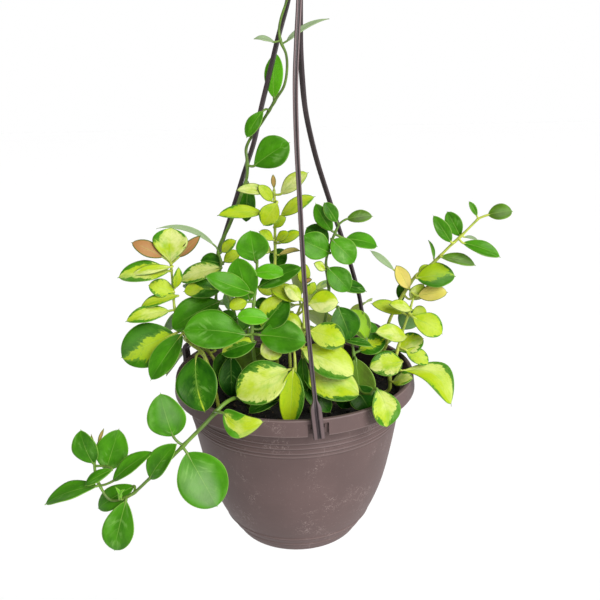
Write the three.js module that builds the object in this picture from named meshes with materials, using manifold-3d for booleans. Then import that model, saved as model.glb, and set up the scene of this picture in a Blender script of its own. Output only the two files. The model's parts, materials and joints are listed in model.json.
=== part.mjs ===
// Hoya australis in a hanging pot: pot, soil, three-armed hanger and leafy stems.
// Millimetres, +Z up, origin at the centre of the pot's underside, front of the plant towards -Y.
import * as THREE from 'three';
import { mergeVertices } from 'three/addons/utils/BufferGeometryUtils.js';
import Module from 'manifold-3d';

const wasm = await Module();
wasm.setup();

// Driving dimensions of the pot
const potHeight = 144;
const rimRadius = 100;
const skirtRadius = 102;
const skirtDrop = 13;
const ledgeDrop = 8.6;
const lipThickness = 3;
const potWall = 1.8;
const floorThickness = 2.5;
const mouthRadius = 97;
const innerFloor = 52;
const potSides = 28;
const drainRadius = 4;
const drainRing = 32;
const drainCount = 4;
const notchWidth = 16;
const notchFloor = 98.4;
const slotWidth = 10.4;
const slotDrop = [5, 8];

// Driving dimensions of the soil
const soilTop = 124;
const soilEdge = 87.1;
const soilMound = 4;
const soilGap = 0.9;
const rootDepth = 14;
const holeRadius = 2.8;
const holeSides = 6;

// Driving dimensions of the hanger
const armFoot = { front: -80.6, right: 39.4, left: 159.4 };
const armLean = { front: 5.5, right: 0, left: 0 };
const armRadius = 1.9;
const footWidth = 8.4;
const footThickness = 2.6;
const footTop = 159;
const footRib = 3.5;
const footRibRise = 1;
const hubRadius = 11;
const hubHeight = 14;
const hubPlace = [7, 0, 462];
const hubNeck = 5.5;
const hookWire = 3.2;
const hookBend = 15;
const shankHeight = 18;
const touchGap = 0.3;

// Driving dimensions of the plant
const stemRadius = 1.6;
const stemStep = 16;
const petioleRadius = 1.0;
const footTaper = 0.45;
const bladeThickness = 1.0;
const bladeStations = [0.1, 0.36, 0.64, 0.88];
const smallLeaf = 20;
const smallStations = [0.18, 0.5, 0.82];
const longStalk = 14;
const fineDetail = 0.15;

// The eye that the leaves in front were measured from: places in its 600-wide picture are
// turned into millimetres with the depth (Y) at which each thing stands
const eye = {
  place: new THREE.Vector3(0, -600, 394),
  reach: 757,
  middle: 300,
  turn: 0.56,
  pitch: 17.5,
  roll: -1.16,
};
const radians = THREE.MathUtils.degToRad;
const up = new THREE.Vector3(0, 0, 1);

function eyeAxes() {
  const turn = radians(eye.turn);
  const pitch = radians(eye.pitch);
  const ahead = new THREE.Vector3(
    Math.sin(turn) * Math.cos(pitch), Math.cos(turn) * Math.cos(pitch), -Math.sin(pitch));
  const level = new THREE.Vector3().crossVectors(ahead, up).normalize();
  const right = level.applyAxisAngle(ahead, -radians(eye.roll));
  return { ahead, right, above: new THREE.Vector3().crossVectors(right, ahead) };
}
const axes = eyeAxes();

// The point seen at (across, down) in the picture when it stands at depth y
function seen([across, down, y]) {
  const ray = axes.ahead.clone().multiplyScalar(eye.reach)
    .addScaledVector(axes.right, across - eye.middle)
    .addScaledVector(axes.above, eye.middle - down);
  return eye.place.clone().addScaledVector(ray, (y - eye.place.y) / ray.y);
}

// Leaf rows that were measured in the picture: base across, base down, tip across, tip down,
// how far the base stands out in front of its stem, how far the tip stands out in front of the base,
// width, then the way the upper face looks as a heading (0 front, 90 right) and a lift (90 up),
// and, where they aren't usual, how strongly the blade is folded and arched, how far its rib bends
// sideways and its shape (1 is widest at the middle, more is widest beyond it)
const gentleFold = 0.08;
const gentleArch = 0.07;
const usualShape = 1.07;

const measuredStems = {
  leafy_stem_trailing: {
    stems: [{
      root: [-36, -48],
      path: [[238, 398, -70], [224, 404, -87], [205, 424, -98], [190, 439, -102], [177, 452, -102],
        [148, 480, -100], [129, 496, -98], [111, 500, -96], [100, 486, -94], [95, 471, -92],
        [95, 452, -90]],
    }],
    leaves: [
      [173, 436, 160, 393, 0, 0, 28, 0, 20, 0.08, 0.07, 0, 0.95],
      [187, 453, 218, 508, 3, 6, 37, 15, 20, 0.08, 0.07, 0, 0.92],
      [150, 478, 177, 443, 3, 4, 18, -30, 20, 0.2],
      [113, 481, 154, 451, 4, 5, 14, 10, 56, 0.15],
      [134, 486, 97, 509, -5, -6, 17, 0, 40],
      [106, 470, 119, 429, -3, -2, 24, 10, 15],
      [126, 501, 114, 552, 3, 2, 24, 0, 15, 0.08, 0.07, 0, 1.12],
      [97, 486, 44, 504, 3, 4, 20, 0, 78],
      [112, 470, 84, 486, 6, 3, 10, 0, 60],
      [93, 463, 80, 430, 4, 0, 20, -10, 10],
      [98, 443, 104, 428, 1, -1, 2.6, 0, 10],
      [223.5, 413, 264, 421, 18, 9, 18, 10, 34, 0.08, 0.05, 0.24, 0.72],
      [95, 450, 83, 441, 2, 1, 2.6, 0, 30],
      [95, 449, 91, 434, 2, 1, 2.2, 0, 30],
      [121, 499, 115, 487, 5, 2, 2.6, 0, 40, 0.08, 0.07, 0.12],
      [119, 499, 125, 489, 6, 2, 2.6, 0, 40, 0.08, 0.07, -0.12],
    ],
  },
  leafy_stem_left: {
    stems: [{
      root: [-62, -42],
      path: [[203, 354, -48], [190, 343, -40], [181, 328, -32], [175, 310, -26], [173, 290, -22],
        [172, 276, -20], [171, 264, -18]],
    }],
    leaves: [
      [171, 264, 171, 227, 1, 0, 28, 0, 15, 0.08, 0.07, 0, 1.9],
      [163, 257, 131, 242, 2, 3, 13, 0, 35],
      [179, 257, 201, 235, 2, 2, 8, 10, 20],
      [169, 271, 117, 277, 4, 6, 20, 0, 48],
      [171, 267, 130, 275, 8, 3, 8, 0, 40],
      [174, 292, 148, 285, 1, 2, 15, 0, 30],
      [175, 288, 179, 267, 2, 2, 8, 30, 20],
      [178, 296, 139, 308, 4, 5, 12, 0, 60],
      [169, 311, 125, 321, 6, 8, 15, 0, 48],
      [174, 334, 120, 358, 4, 4, 35, -10, 22],
      [182, 334, 150, 381, 12, 10, 20, -12, 18, 0.1],
      [196, 357, 205, 413, 10, 23, 32, 0, 15, 0.08, 0.07, 0.05, 1.1],
    ],
  },
  leafy_stem_left_inner: {
    stems: [{
      root: [-46, -12],
      path: [[228, 345, -22], [219, 322, -20], [216, 300, -18], [218, 280, -15], [221, 262, -12],
        [218, 252, -10]],
    }],
    leaves: [
      [219, 302, 171, 329, 3, 15, 28, -10, 36],
      [220, 290, 183, 291, 2, 4, 18, 0, 45],
      [221, 268, 179, 281, 3, -2, 18, 0, 50],
      [223, 264, 200, 260, -3, -3, 14, 0, 40],
      [214, 245, 156, 228, 0, -6, 4.8, 0, 35, 0.08, 0, 0.14, 0.85],
      [222, 252, 236, 240, 2, 2, 10, 0, 40],
      [224, 262, 240, 252, -4, -3, 11, 0, 40],
      [219, 314, 238, 320, 1, 2, 11, 0, 40],
      [228, 350, 221, 380, 6, 8, 18, 0, 35],
      [231, 356, 232, 398, 17, 11, 20, 0, 25],
    ],
  },
  leafy_stem_centre: {
    stems: [{
      root: [-22, -40],
      path: [[255, 362, -50], [252, 334, -54], [253, 312, -50], [255, 292, -46], [257, 270, -43],
        [256, 252, -40], [253, 243, -38]],
    }],
    leaves: [
      [246, 335, 182, 330, 4, 6, 33, 0, 45, 0.08, 0.07, 0, 1.3],
      [260, 335, 307, 342, 4, 6, 27, 0, 40],
      [268, 319, 236, 316, 7, 3, 14, 0, 40],
      [262, 328, 288, 297, 0, -4, 24, -10, 25],
      [250, 292, 205, 275, 7, 8, 18, 0, 42, 0.08, 0.07, -0.05],
      [259, 287, 303, 267, 3, 6, 16, 0, 42],
      [253, 273, 286, 273, 7, 3, 13, 0, 40],
      [250, 300, 237, 257, 1, -1, 24, -10, 15],
      [255, 261, 250, 230, 4, 2, 25, 0, 15],
      [247, 302, 229, 308, 5, 5, 12, 0, 50],
      [256, 342, 221, 354, 2, 4, 18, 0, 45],
    ],
  },
  leafy_stem_front: {
    stems: [{
      root: [-8, -60],
      path: [[292, 396, -66], [294, 380, -68], [295, 362, -66], [293, 348, -60], [288, 340, -56]],
    }],
    leaves: [
      [288, 370, 235, 397, 4, 8, 33, 0, 35],
      [293, 370, 289, 429, 6, 10, 19, 6, 12, 0.14, 0.05, 0, 0.98],
      [279, 400, 248, 413, 2, 6, 13, 0, 55, 0.3],
      [264, 350, 236, 374, -18, 0, 22, 0, 30],
      [284, 345, 260, 354, 4, 4, 19, 0, 35],
    ],
  },
  leafy_stem_tall: {
    stems: [{
      root: [-14, -8],
      path: [[275, 330, -20], [273, 300, -16], [275, 262, -12], [275, 232, -10], [275, 206, -8],
        [274, 190, -8]],
    }],
    leaves: [
      [274, 188, 273, 174, 0, 0, 4, 0, 10],
      [281, 194, 308, 172, 2, 4, 14, -10, 35],
      [269, 192, 236, 190, 2, 5, 11, 0, 46],
      [272, 201, 258, 185, 3, 3, 10, 0, 40],
      [263, 213, 217, 215, 3, 6, 13, 0, 45],
      [277, 203, 263, 226, 6, 5, 16, 0, 25, 0.08, 0.07, 0, 1.2],
      [281, 216, 315, 196, 3, 6, 13, 0, 42],
      [274, 227, 286, 217, 4, 2, 9, 0, 40],
      [273, 240, 259, 231, 3, 2, 9, 0, 50],
      [277, 241, 289, 232, 5, 2, 9, 0, 50],
      [280, 243, 301, 232, 2, 2, 10, 0, 45],
      [272, 266, 285, 249, -7, -2, 15, 0, 20],
      [279, 255, 300, 250, 2, 3, 8, 0, 70],
      [271, 252, 252, 246, -4, -4, 13, 0, 50],
      [273, 318, 250, 330, 1, 3, 16, 0, 45],
      [272, 305, 254, 305, 1, 3, 12, 0, 45],
      [273, 293, 257, 287, 2, 3, 11, 0, 45],
    ],
  },
  leafy_stem_middle: {
    stems: [{
      root: [4, -46],
      path: [[301, 376, -56], [303, 355, -54], [304, 330, -50], [304, 305, -44], [306, 285, -40],
        [308, 272, -38]],
    }],
    leaves: [
      [303, 375, 361, 395, 5, 9, 29, 0, 46],
      [302, 349, 355, 375, 6, 10, 28, 0, 44],
      [310, 331, 346, 343, 8, 6, 22, 0, 40],
      [309, 304, 339, 302, 4, 5, 19, 0, 38],
      [301, 299, 270, 289, 2, 4, 15, 0, 45],
      [301, 300, 284, 286, 6, 3, 12, 0, 40],
      [303, 327, 276, 322, -2, -2, 18, 0, 42],
      [308, 294, 315, 282, 3, 2, 8, 0, 20],
      [304, 282, 312, 279, 8, 1, 4, 0, 30],
      [303, 284, 305, 263, 2, 1, 10, 0, 20],
      [303, 357, 307, 392, 4, 8, 12, -40, 20],
      [303, 378, 331, 413, 2, 12, 18, 0, 35],
    ],
  },
  leafy_stem_upright: {
    stems: [{
      root: [22, -16],
      path: [[323, 335, -30], [329, 293, -26], [326, 262, -24], [331, 243, -22], [338, 226, -20]],
    }],
    leaves: [
      [347, 219, 373, 216, 1, 2, 11, 0, 40],
      [332, 231, 315, 203, 0, 1, 13, -25, 15],
      [337, 222, 324, 202, 3, 1, 11, 10, 15],
      [328, 245, 306, 227, -5, -4, 19, 0, 20],
      [330, 253, 299, 239, 3, 3, 22, 0, 22],
      [332, 240, 355, 263, 5, 4, 20, 0, 30],
      [346, 239, 378, 246, -3, -4, 16, 0, 50],
      [328, 268, 350, 291, 4, 4, 19, 0, 30],
      [332, 285, 367, 291, -4, -6, 13, 0, 50],
      [325, 270, 314, 263, 3, 3, 8, 0, 40],
    ],
  },
  leafy_stem_right_inner: {
    stems: [
      {
        root: [38, -40],
        path: [[352, 385, -46], [354, 362, -44], [352, 342, -42], [348, 326, -40]],
      },
      {
        path: [[353, 376, -45], [361, 392, -62], [371, 394, -76]],
      },
    ],
    leaves: [
      [338, 307, 351, 340, 2, 6, 24, 5, 28],
      [367, 339, 348, 309, -5, -4, 18, 20, 30, 0.2],
      [345, 341, 373, 346, 4, 3, 8, 0, 60],
      [359, 351, 386, 338, -3, -4, 18, 0, 40],
      [356, 359, 363, 408, 4, 9, 26, -10, 20],
      [355, 386, 370, 410, 2, 10, 22, 0, 30],
      [353, 380, 341, 409, 4, 7, 20, 0, 30],
      [377, 389, 387, 428, 4, 13, 22, 10, 22, 0.08, 0.07, -0.08, 1.3],
    ],
  },
  leafy_stem_right_low: {
    stems: [{
      root: [66, -26],
      path: [[389, 390, -31], [390, 376, -31], [396, 356, -28], [403, 330, -26], [409, 313, -25],
        [413, 299, -24]],
    }],
    leaves: [
      [402, 362, 369, 368, 4, 8, 22, 5, 42],
      [393, 382, 413, 378, 8, 10, 14, 0, 55],
      [402, 371, 452, 406, 6, 14, 24, 10, 40, 0.1, 0.06, -0.27, 1.5],
      [406, 350, 429, 364, 4, 5, 14, 10, 40],
      [398, 350, 424, 338, 0, -2, 18, 0, 42],
      [406, 337, 375, 332, 6, 12, 16, 0, 46],
      [413, 317, 443, 334, 4, 5, 20, 10, 33],
      [412, 314, 427, 311, -4, -4, 11, 0, 30],
      [403, 313, 371, 303, -2, -2, 12, 0, 45],
      [411, 310, 389, 304, 5, 5, 11, 0, 50],
    ],
  },
  leafy_stem_right_high: {
    stems: [{
      root: [58, 2],
      path: [[386, 345, -4], [388, 325, -6], [397, 305, -9], [406, 290, -12], [415, 277, -14],
        [434, 262, -16], [450, 246, -18], [460, 237, -20], [478, 219, -22]],
    }],
    leaves: [
      [409, 289, 396, 265, 3, 2, 12, -10, 25],
      [418, 296, 448, 292, 10, 4, 14, 0, 40],
      [411, 299, 424, 284, 5, 4, 12, 20, 34],
      [402, 301, 401, 282, -4, -2, 8, -30, 20],
      [394, 270, 370, 250, -6, -6, 5.6, 0, 30],
      [417, 278, 456, 276, 4, 6, 22, 0, 42],
      [419, 276, 430, 265, -1, -1, 9, 0, 30],
      [441, 257, 476, 265, 3, 4, 12, 0, 55],
      [463, 243, 501, 257, 3, 5, 13, 0, 45],
      [434, 259, 429, 240, -2, -1, 4, 40, 20],
      [451, 242, 433, 215, 4, 2, 11, -20, 30],
      [460, 236, 447, 211, -3, -2, 13, -10, 20],
      [464, 237, 478, 240, -4, -4, 4, 0, 60],
      [488, 215, 513, 211, 1, 2, 14, 0, 40],
      [477, 216, 469, 201, 0, -1, 5, 0, 20],
    ],
  },
  climbing_stem: {
    stems: [{
      root: [-46, 16],
      path: [[238, 330, 14], [231, 303, 14], [223, 285, 15], [218, 262, 18], [219, 248, 19],
        [230, 224, 17], [239, 200, 15], [247, 176, 12], [247, 160, 10], [246, 150, 12], [249, 141, 19],
        [255, 132, 24], [260, 125, 21], [267, 114, 13], [276, 99, 8], [284, 86, 3], [287, 69, 0],
        [286, 54, -3], [281, 42, -2], [279, 30, 0], [281, 18, -1], [285, 6, -3], [289, -6, -3]],
    }],
    leaves: [
      [254, 166, 290, 142, 3, 4, 26, 0, 25, 0.08, 0.07, 0, 1.35],
      [263, 111, 246, 138, 9, 2, 12, -20, 20],
      [274, 98, 276.5, 52, -9, -3, 15, 10, 10, 0.08, 0.07, -0.05],
      [274, 42, 254, 38, 1, 1, 7, 0, 60],
      [287, 41, 329, 18, 0, 0, 5.2, 0, 45, 0.08, 0, -0.1, 0.62],
      [248, 183, 246, 223, -14, -4, 15, 0, 10],
    ],
  },
};

// Stems behind and beside the pot, which the picture doesn't show: their paths are in millimetres,
// and their leaves stand in opposite pairs, each pair a quarter turn on from the one before
const pairedStems = {
  leafy_stem_back_left: {
    root: [-45, 40],
    path: [[-48, 46, 142], [-60, 64, 164], [-76, 84, 178], [-92, 100, 180]],
    pairs: 4, size: 38, first: 30, seed: 1,
  },
  leafy_stem_back_middle: {
    root: [-4, 50],
    path: [[-4, 56, 142], [2, 76, 160], [8, 100, 168], [12, 124, 160]],
    pairs: 4, size: 38, first: 60, seed: 2,
  },
  leafy_stem_left_side: {
    root: [-66, 22],
    path: [[-70, 27, 140], [-84, 40, 154], [-96, 56, 153]],
    pairs: 2, size: 34, first: 28, seed: 4,
  },
  leafy_stem_right_side: {
    root: [66, 24],
    path: [[72, 28, 140], [88, 34, 155], [104, 38, 157]],
    pairs: 2, size: 32, first: 30, seed: 5,
  },
  leafy_stem_back_trailing_left: {
    root: [-40, 58],
    path: [[-42, 68, 144], [-46, 88, 156], [-50, 106, 150], [-54, 118, 122], [-54, 122, 88], [-50, 118, 56]],
    pairs: 5, size: 34, first: 80, seed: 6,
  },
  leafy_stem_back_trailing_right: {
    root: [44, 56],
    path: [[46, 66, 144], [48, 84, 154], [52, 104, 148], [56, 118, 120], [56, 122, 86], [52, 120, 60]],
    pairs: 5, size: 34, first: 35, seed: 7,
  },
};

// The arms of the hanger, from the rim up to the hub, in the same way as the measured stems
const armPaths = {
  front: [[315, 400, -100], [312.5, 376, -94], [309.6, 347, -87], [307, 318, -79], [303, 260, -66],
    [299.5, 196, -53], [296.5, 138, -40], [295.4, 84, -29], [297, 40, -19], [299, 0, -11], [299, -20, -6]],
  right: [[365, 319, 65], [358.5, 293, 60], [351, 266, 53], [340, 232, 44.5],
    [330, 202, 38], [317, 161, 31], [309.5, 131, 26], [305, 107, 22], [302, 76, 17], [300.4, 46, 13],
    [300, 0, 7], [300, -20, 5]],
  left: [[194, 338, 34], [205, 300, 31], [221, 246, 27], [235, 202, 23], [244, 173, 20],
    [254, 142, 17], [261, 109, 14], [268, 80, 11], [278, 38, 7], [288, 0, 3], [292, -20, 1]],
};

// Solids from closed geometries, and back
function solidOf(geometry) {
  const bare = geometry.clone();
  bare.deleteAttribute('normal');
  bare.deleteAttribute('uv');
  const merged = mergeVertices(bare, 1e-4);
  const corners = merged.index.array;
  const triangles = [];
  for (let i = 0; i < corners.length; i += 3) {
    const [a, b, c] = corners.slice(i, i + 3);
    if (a !== b && b !== c && c !== a) triangles.push(a, b, c);
  }
  return new wasm.Manifold(new wasm.Mesh({
    numProp: 3,
    vertProperties: new Float32Array(merged.attributes.position.array),
    triVerts: new Uint32Array(triangles),
  }));
}

function geometryOf(solid) {
  const mesh = solid.getMesh();
  const geometry = new THREE.BufferGeometry();
  geometry.setAttribute('position', new THREE.BufferAttribute(mesh.vertProperties, mesh.numProp));
  geometry.setIndex(new THREE.BufferAttribute(mesh.triVerts, 1));
  geometry.computeVertexNormals();
  return geometry;
}

// The largest body of a solid, without the loose scraps that joining can leave
function wholePiece(solid) {
  return solid.decompose().reduce((best, piece) => (piece.volume() > best.volume() ? piece : best));
}

// A round bar of few sides along a curve
function bar(curve, radius, sides, steps) {
  const section = new THREE.Shape();
  for (let i = 0; i < sides; i += 1) {
    const angle = (i / sides) * 2 * Math.PI;
    section.lineTo(radius * Math.cos(angle), radius * Math.sin(angle));
  }
  return solidOf(new THREE.ExtrudeGeometry(section, { steps, bevelEnabled: false, extrudePath: curve }));
}

// A box given by its lowest and highest corners
function block(low, high) {
  const size = high.map((top, k) => top - low[k]);
  const geometry = new THREE.BoxGeometry(...size);
  return geometry.translate(...low.map((bottom, k) => bottom + size[k] / 2));
}

// An upright cylinder standing at (x, y) from bottom to top
function post(x, y, bottom, top, radius, sides) {
  const geometry = new THREE.CylinderGeometry(radius, radius, top - bottom, sides);
  return geometry.rotateX(Math.PI / 2).translate(x, y, (top + bottom) / 2);
}

function turned(profile, sides) {
  const points = profile.map(([radius, height]) => new THREE.Vector2(radius, height));
  return new THREE.LatheGeometry(points, sides).rotateX(Math.PI / 2);
}

// Outer radius of the pot's body at each height, from the underside to the rim
const potBody = [[53, 0], [56.2, 5.8], [67, 24], [76.2, 48], [82.5, 75], [88.3, 108], [91.7, 131]];

function potSolid() {
  const lipUnder = potHeight - lipThickness;
  const skirtBottom = potHeight - skirtDrop;
  const ledge = potHeight - ledgeDrop;
  const outer = [[0, 0], ...potBody, [skirtRadius, skirtBottom],
    [rimRadius + 0.3, potHeight - 1], [rimRadius - 0.8, potHeight]];
  const inner = potBody.slice(1).reverse().map(([radius, height]) => [radius - potWall, height]);
  const inside = [[mouthRadius, potHeight], [mouthRadius, ledge], [inner[0][0], ledge], ...inner.slice(1, -1),
    [innerFloor + 2.5, floorThickness + 2], [innerFloor, floorThickness], [0, floorThickness]];
  let pot = solidOf(turned([...outer, ...inside], potSides));
  for (const degrees of Object.values(armFoot)) {
    const notch = block([notchFloor, -notchWidth / 2, skirtBottom - 1],
      [skirtRadius + 2, notchWidth / 2, lipUnder]);
    const slot = block([mouthRadius - 2, -slotWidth / 2, potHeight - slotDrop[1]],
      [notchFloor + 1, slotWidth / 2, potHeight - slotDrop[0]]);
    for (const opening of [notch, slot]) {
      pot = pot.subtract(solidOf(opening.rotateZ(radians(degrees))));
    }
  }
  for (let i = 0; i < drainCount; i += 1) {
    const angle = ((i + 0.5) / drainCount) * 2 * Math.PI;
    const hole = post(drainRing * Math.cos(angle), drainRing * Math.sin(angle),
      -1, floorThickness + 1, drainRadius, 10);
    pot = pot.subtract(solidOf(hole));
  }
  return pot;
}

function soilSolid(roots) {
  const bottom = floorThickness + 0.5;
  const side = potBody.slice(2, -1).map(([radius, height]) => [radius - potWall - soilGap, height]);
  const profile = [[0, bottom], [innerFloor - 2, bottom], [innerFloor - soilGap, bottom + 3], ...side,
    [soilEdge, soilTop - soilMound / 2], [soilEdge * 0.81, soilTop],
    [soilEdge * 0.4, soilTop + 0.7 * soilMound], [0, soilTop + soilMound]];
  let soil = solidOf(turned(profile, potSides));
  for (const [x, y] of roots) {
    const hole = post(x, y, soilTop - rootDepth - 2, soilTop + soilMound + 2, holeRadius, holeSides);
    soil = soil.subtract(solidOf(hole));
  }
  return soil;
}

// The hub and its hook, which the arms hang from
function hookSolid() {
  const [x, y, z] = hubPlace;
  const hub = turned([[0, 0], [hubRadius, 0], [hubRadius, hubHeight * 0.55], [hubNeck, hubHeight],
    [0, hubHeight]], 16).translate(x, y, z);
  const bendCentre = z + hubHeight + shankHeight + hookBend * 0.5;
  const points = [new THREE.Vector3(x, y, z + hubHeight - 3), new THREE.Vector3(x, y, z + hubHeight + 6)];
  for (const degrees of [-40, -10, 20, 50, 80, 110, 140, 170, 195]) {
    const angle = radians(degrees);
    points.push(new THREE.Vector3(
      x + hookBend * Math.cos(angle), y, bendCentre + hookBend * Math.sin(angle)));
  }
  const curve = new THREE.CatmullRomCurve3(points, false, 'centripetal');
  return solidOf(hub).add(bar(curve, hookWire, 8, 18)).asOriginal().simplify(fineDetail);
}

// One arm: a slim bar from the hub to the rim, ending in a ribbed foot whose finger goes through the rim
function armSolid(side) {
  const points = armPaths[side].map(seen);
  const top = points[points.length - 1];
  top.z = hubPlace[2] - 9;
  points.push(new THREE.Vector3(top.x, top.y, hubPlace[2] - touchGap));
  const angle = radians(armFoot[side]);
  const lean = radians(armLean[side]);
  const low = potHeight - skirtDrop - 0.5;
  const outward = rimRadius + 1.4;
  const face = outward + footThickness + footRibRise;
  const footPoint = (height) => new THREE.Vector3((outward + face) / 2, -(height - low) * Math.tan(lean), height)
    .applyAxisAngle(up, angle);
  points.unshift(footPoint(footTop - 16), footPoint(footTop - 7));
  const curve = new THREE.CatmullRomCurve3(points, false, 'centripetal');
  const half = footWidth / 2;
  const finger = slotWidth / 2 - 1;
  const leaning = [
    block([outward, -half, low], [outward + footThickness, half, footTop - 2]),
    block([outward + 1, -half, low], [face, footRib - half, footTop - 4]),
    block([outward + 1, half - footRib, low], [face, half, footTop - 4]),
  ].map((piece) => piece.translate(0, 0, -low).rotateX(lean).translate(0, 0, low));
  const upright = block([mouthRadius - 1.5, -finger, potHeight - slotDrop[1] + touchGap],
    [outward + 1, finger, potHeight - slotDrop[0] - touchGap]);
  let arm = bar(curve, armRadius, 6, 18);
  for (const piece of [...leaning, upright]) {
    arm = arm.add(solidOf(piece.rotateZ(angle)));
  }
  return wholePiece(arm.asOriginal().simplify(fineDetail));
}

// A leaf: its base and tip, the two directions across and out of its blade, and how it is bent
function leafOf(base, tip, facing, width, fold = gentleFold, arch = gentleArch, sweep = 0, shape = usualShape) {
  const along = new THREE.Vector3().subVectors(tip, base);
  const length = along.length();
  along.normalize();
  const face = facing.clone().addScaledVector(along, -facing.dot(along)).normalize();
  const across = new THREE.Vector3().crossVectors(along, face);
  return { base, along, face, across, length, width, fold, arch, sweep, shape };
}

// Half the width of a blade at a share t of its length, as a share of its greatest half width
function outline(t, shape) {
  return Math.sin(Math.PI * t ** shape) ** 0.58;
}

// A point of a blade: t runs from base to tip, s from the left edge (-1) to the right edge (1)
function bladePoint(leaf, t, s, height) {
  const half = (leaf.width / 2) * (t > 0 && t < 1 ? outline(t, leaf.shape) : 0);
  const bow = 4 * t * (1 - t) * leaf.length;
  const lift = bow * leaf.arch + 2 * leaf.fold * half * s * s + height;
  return leaf.base.clone().addScaledVector(leaf.along, t * leaf.length)
    .addScaledVector(leaf.across, half * s + bow * leaf.sweep).addScaledVector(leaf.face, lift);
}

// The cross-sections of a leaf from the foot of its stalk to its tip: the same points on each face,
// two across a nearly flat blade and three across a folded one, so both faces are split alike
function leafSections(leaf) {
  const { foot, base } = leaf;
  const columns = leaf.fold > gentleFold ? [-1, 0, 1] : [-1, 1];
  const reach = foot.distanceTo(base);
  const bend = base.clone().addScaledVector(leaf.along, -0.45 * reach).lerp(foot, 0.25);
  const stalk = new THREE.QuadraticBezierCurve3(foot, bend, base);
  const sections = (reach > longStalk ? [0, 0.55, 1] : [0, 1]).map((share) => {
    const centre = stalk.getPoint(share);
    const radius = petioleRadius * (share ? 1 : footTaper);
    const side = leaf.across.clone().multiplyScalar(radius);
    const rise = new THREE.Vector3().crossVectors(side, stalk.getTangent(share)).setLength(radius);
    return [1, -1].map((face) => (
      columns.map((s) => centre.clone().addScaledVector(side, s).addScaledVector(rise, face))));
  });
  for (const t of leaf.width < smallLeaf ? smallStations : bladeStations) {
    sections.push([1, -1].map((face) => (
      columns.map((s) => bladePoint(leaf, t, s, (face * bladeThickness) / 2)))));
  }
  sections.push([1, -1].map((face) => {
    const tip = bladePoint(leaf, 1, 0, (face * bladeThickness) / 2);
    return columns.map(() => tip);
  }));
  return sections;
}

function leafSolid(leaf) {
  const sections = leafSections(leaf);
  const columns = sections[0][0].length;
  const positions = sections.flat(2).flatMap((point) => [...point]);
  const at = (row, face, column) => (row * 2 + face) * columns + column;
  const triangles = [];
  const quad = (a, b, c, d) => triangles.push(a, b, c, a, c, d);
  const right = columns - 1;
  for (let row = 0; row + 1 < sections.length; row += 1) {
    for (let column = 0; column < right; column += 1) {
      quad(at(row, 0, column), at(row, 0, column + 1), at(row + 1, 0, column + 1), at(row + 1, 0, column));
      quad(at(row + 1, 1, column), at(row + 1, 1, column + 1), at(row, 1, column + 1), at(row, 1, column));
    }
    quad(at(row, 1, 0), at(row, 0, 0), at(row + 1, 0, 0), at(row + 1, 1, 0));
    quad(at(row + 1, 1, right), at(row + 1, 0, right), at(row, 0, right), at(row, 1, right));
  }
  for (let column = 0; column < right; column += 1) {
    quad(at(0, 1, column), at(0, 1, column + 1), at(0, 0, column + 1), at(0, 0, column));
  }
  const geometry = new THREE.BufferGeometry();
  geometry.setAttribute('position', new THREE.Float32BufferAttribute(positions, 3));
  geometry.setIndex(triangles);
  return solidOf(geometry);
}

// The straight lengths that a stem is made of
function stemLine(curve) {
  return curve.getSpacedPoints(Math.ceil(curve.getLength() / stemStep));
}

// Where a leaf's stalk leaves its stem: the place on the stems nearest to the blade's base
function footOn(stems, base) {
  let best = null;
  for (const line of stems.map(stemLine)) {
    for (let i = 1; i < line.length; i += 1) {
      const length = new THREE.Line3(line[i - 1], line[i]);
      const point = length.closestPointToPoint(base, true, new THREE.Vector3());
      const gap = point.distanceTo(base);
      if (!best || gap < best.gap) best = { gap, point };
    }
  }
  return best.point;
}

// A stem standing in its hole in the soil, then following its points
function stemCurve(root, points) {
  const start = root ? [
    new THREE.Vector3(root[0], root[1], soilTop - rootDepth),
    new THREE.Vector3(root[0], root[1], soilTop + soilMound),
  ] : [];
  return new THREE.CatmullRomCurve3([...start, ...points], false, 'centripetal');
}

function leafyStemSolid(stems, leaves) {
  let plant = null;
  for (const curve of stems) {
    const stem = bar(curve, stemRadius, 4, stemLine(curve).length - 1);
    plant = plant ? plant.add(stem) : stem;
  }
  for (const leaf of leaves) {
    plant = plant.add(leafSolid({ ...leaf, foot: footOn(stems, leaf.base) }));
  }
  return wholePiece(plant.asOriginal().simplify(fineDetail));
}

// Heading and lift in degrees to a direction: heading 0 looks to the front, 90 to the right
function direction(heading, lift) {
  const level = Math.cos(radians(lift));
  return new THREE.Vector3(
    Math.sin(radians(heading)) * level, -Math.cos(radians(heading)) * level, Math.sin(radians(lift)));
}

// The stem's depth where it passes closest to a place in the picture
function depthBeside(stems, across, down) {
  let best = null;
  for (const { path } of stems) {
    for (let i = 0; i + 1 < path.length; i += 1) {
      for (let share = 0; share <= 1; share += 0.1) {
        const point = path[i].map((value, k) => value + share * (path[i + 1][k] - value));
        const gap = Math.hypot(point[0] - across, point[1] - down);
        if (!best || gap < best.gap) best = { gap, depth: point[2] };
      }
    }
  }
  return best.depth;
}

function measuredLeaf(stems, row) {
  const [baseAcross, baseDown, tipAcross, tipDown, baseOut, tipOut, width, heading, lift, ...bends] = row;
  const baseDepth = depthBeside(stems, baseAcross, baseDown) - baseOut;
  const base = seen([baseAcross, baseDown, baseDepth]);
  const tip = seen([tipAcross, tipDown, baseDepth - tipOut]);
  return leafOf(base, tip, direction(heading, lift), width, ...bends);
}

function measuredStem({ stems, leaves }) {
  const curves = stems.map(({ root, path }) => stemCurve(root, path.map(seen)));
  return leafyStemSolid(curves, leaves.map((row) => measuredLeaf(stems, row)));
}

// A number from 0 to 1 that is always the same for the same seed
function draw(seed) {
  const value = Math.sin(seed * 12.9898) * 43758.5453;
  return value - Math.floor(value);
}

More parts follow.
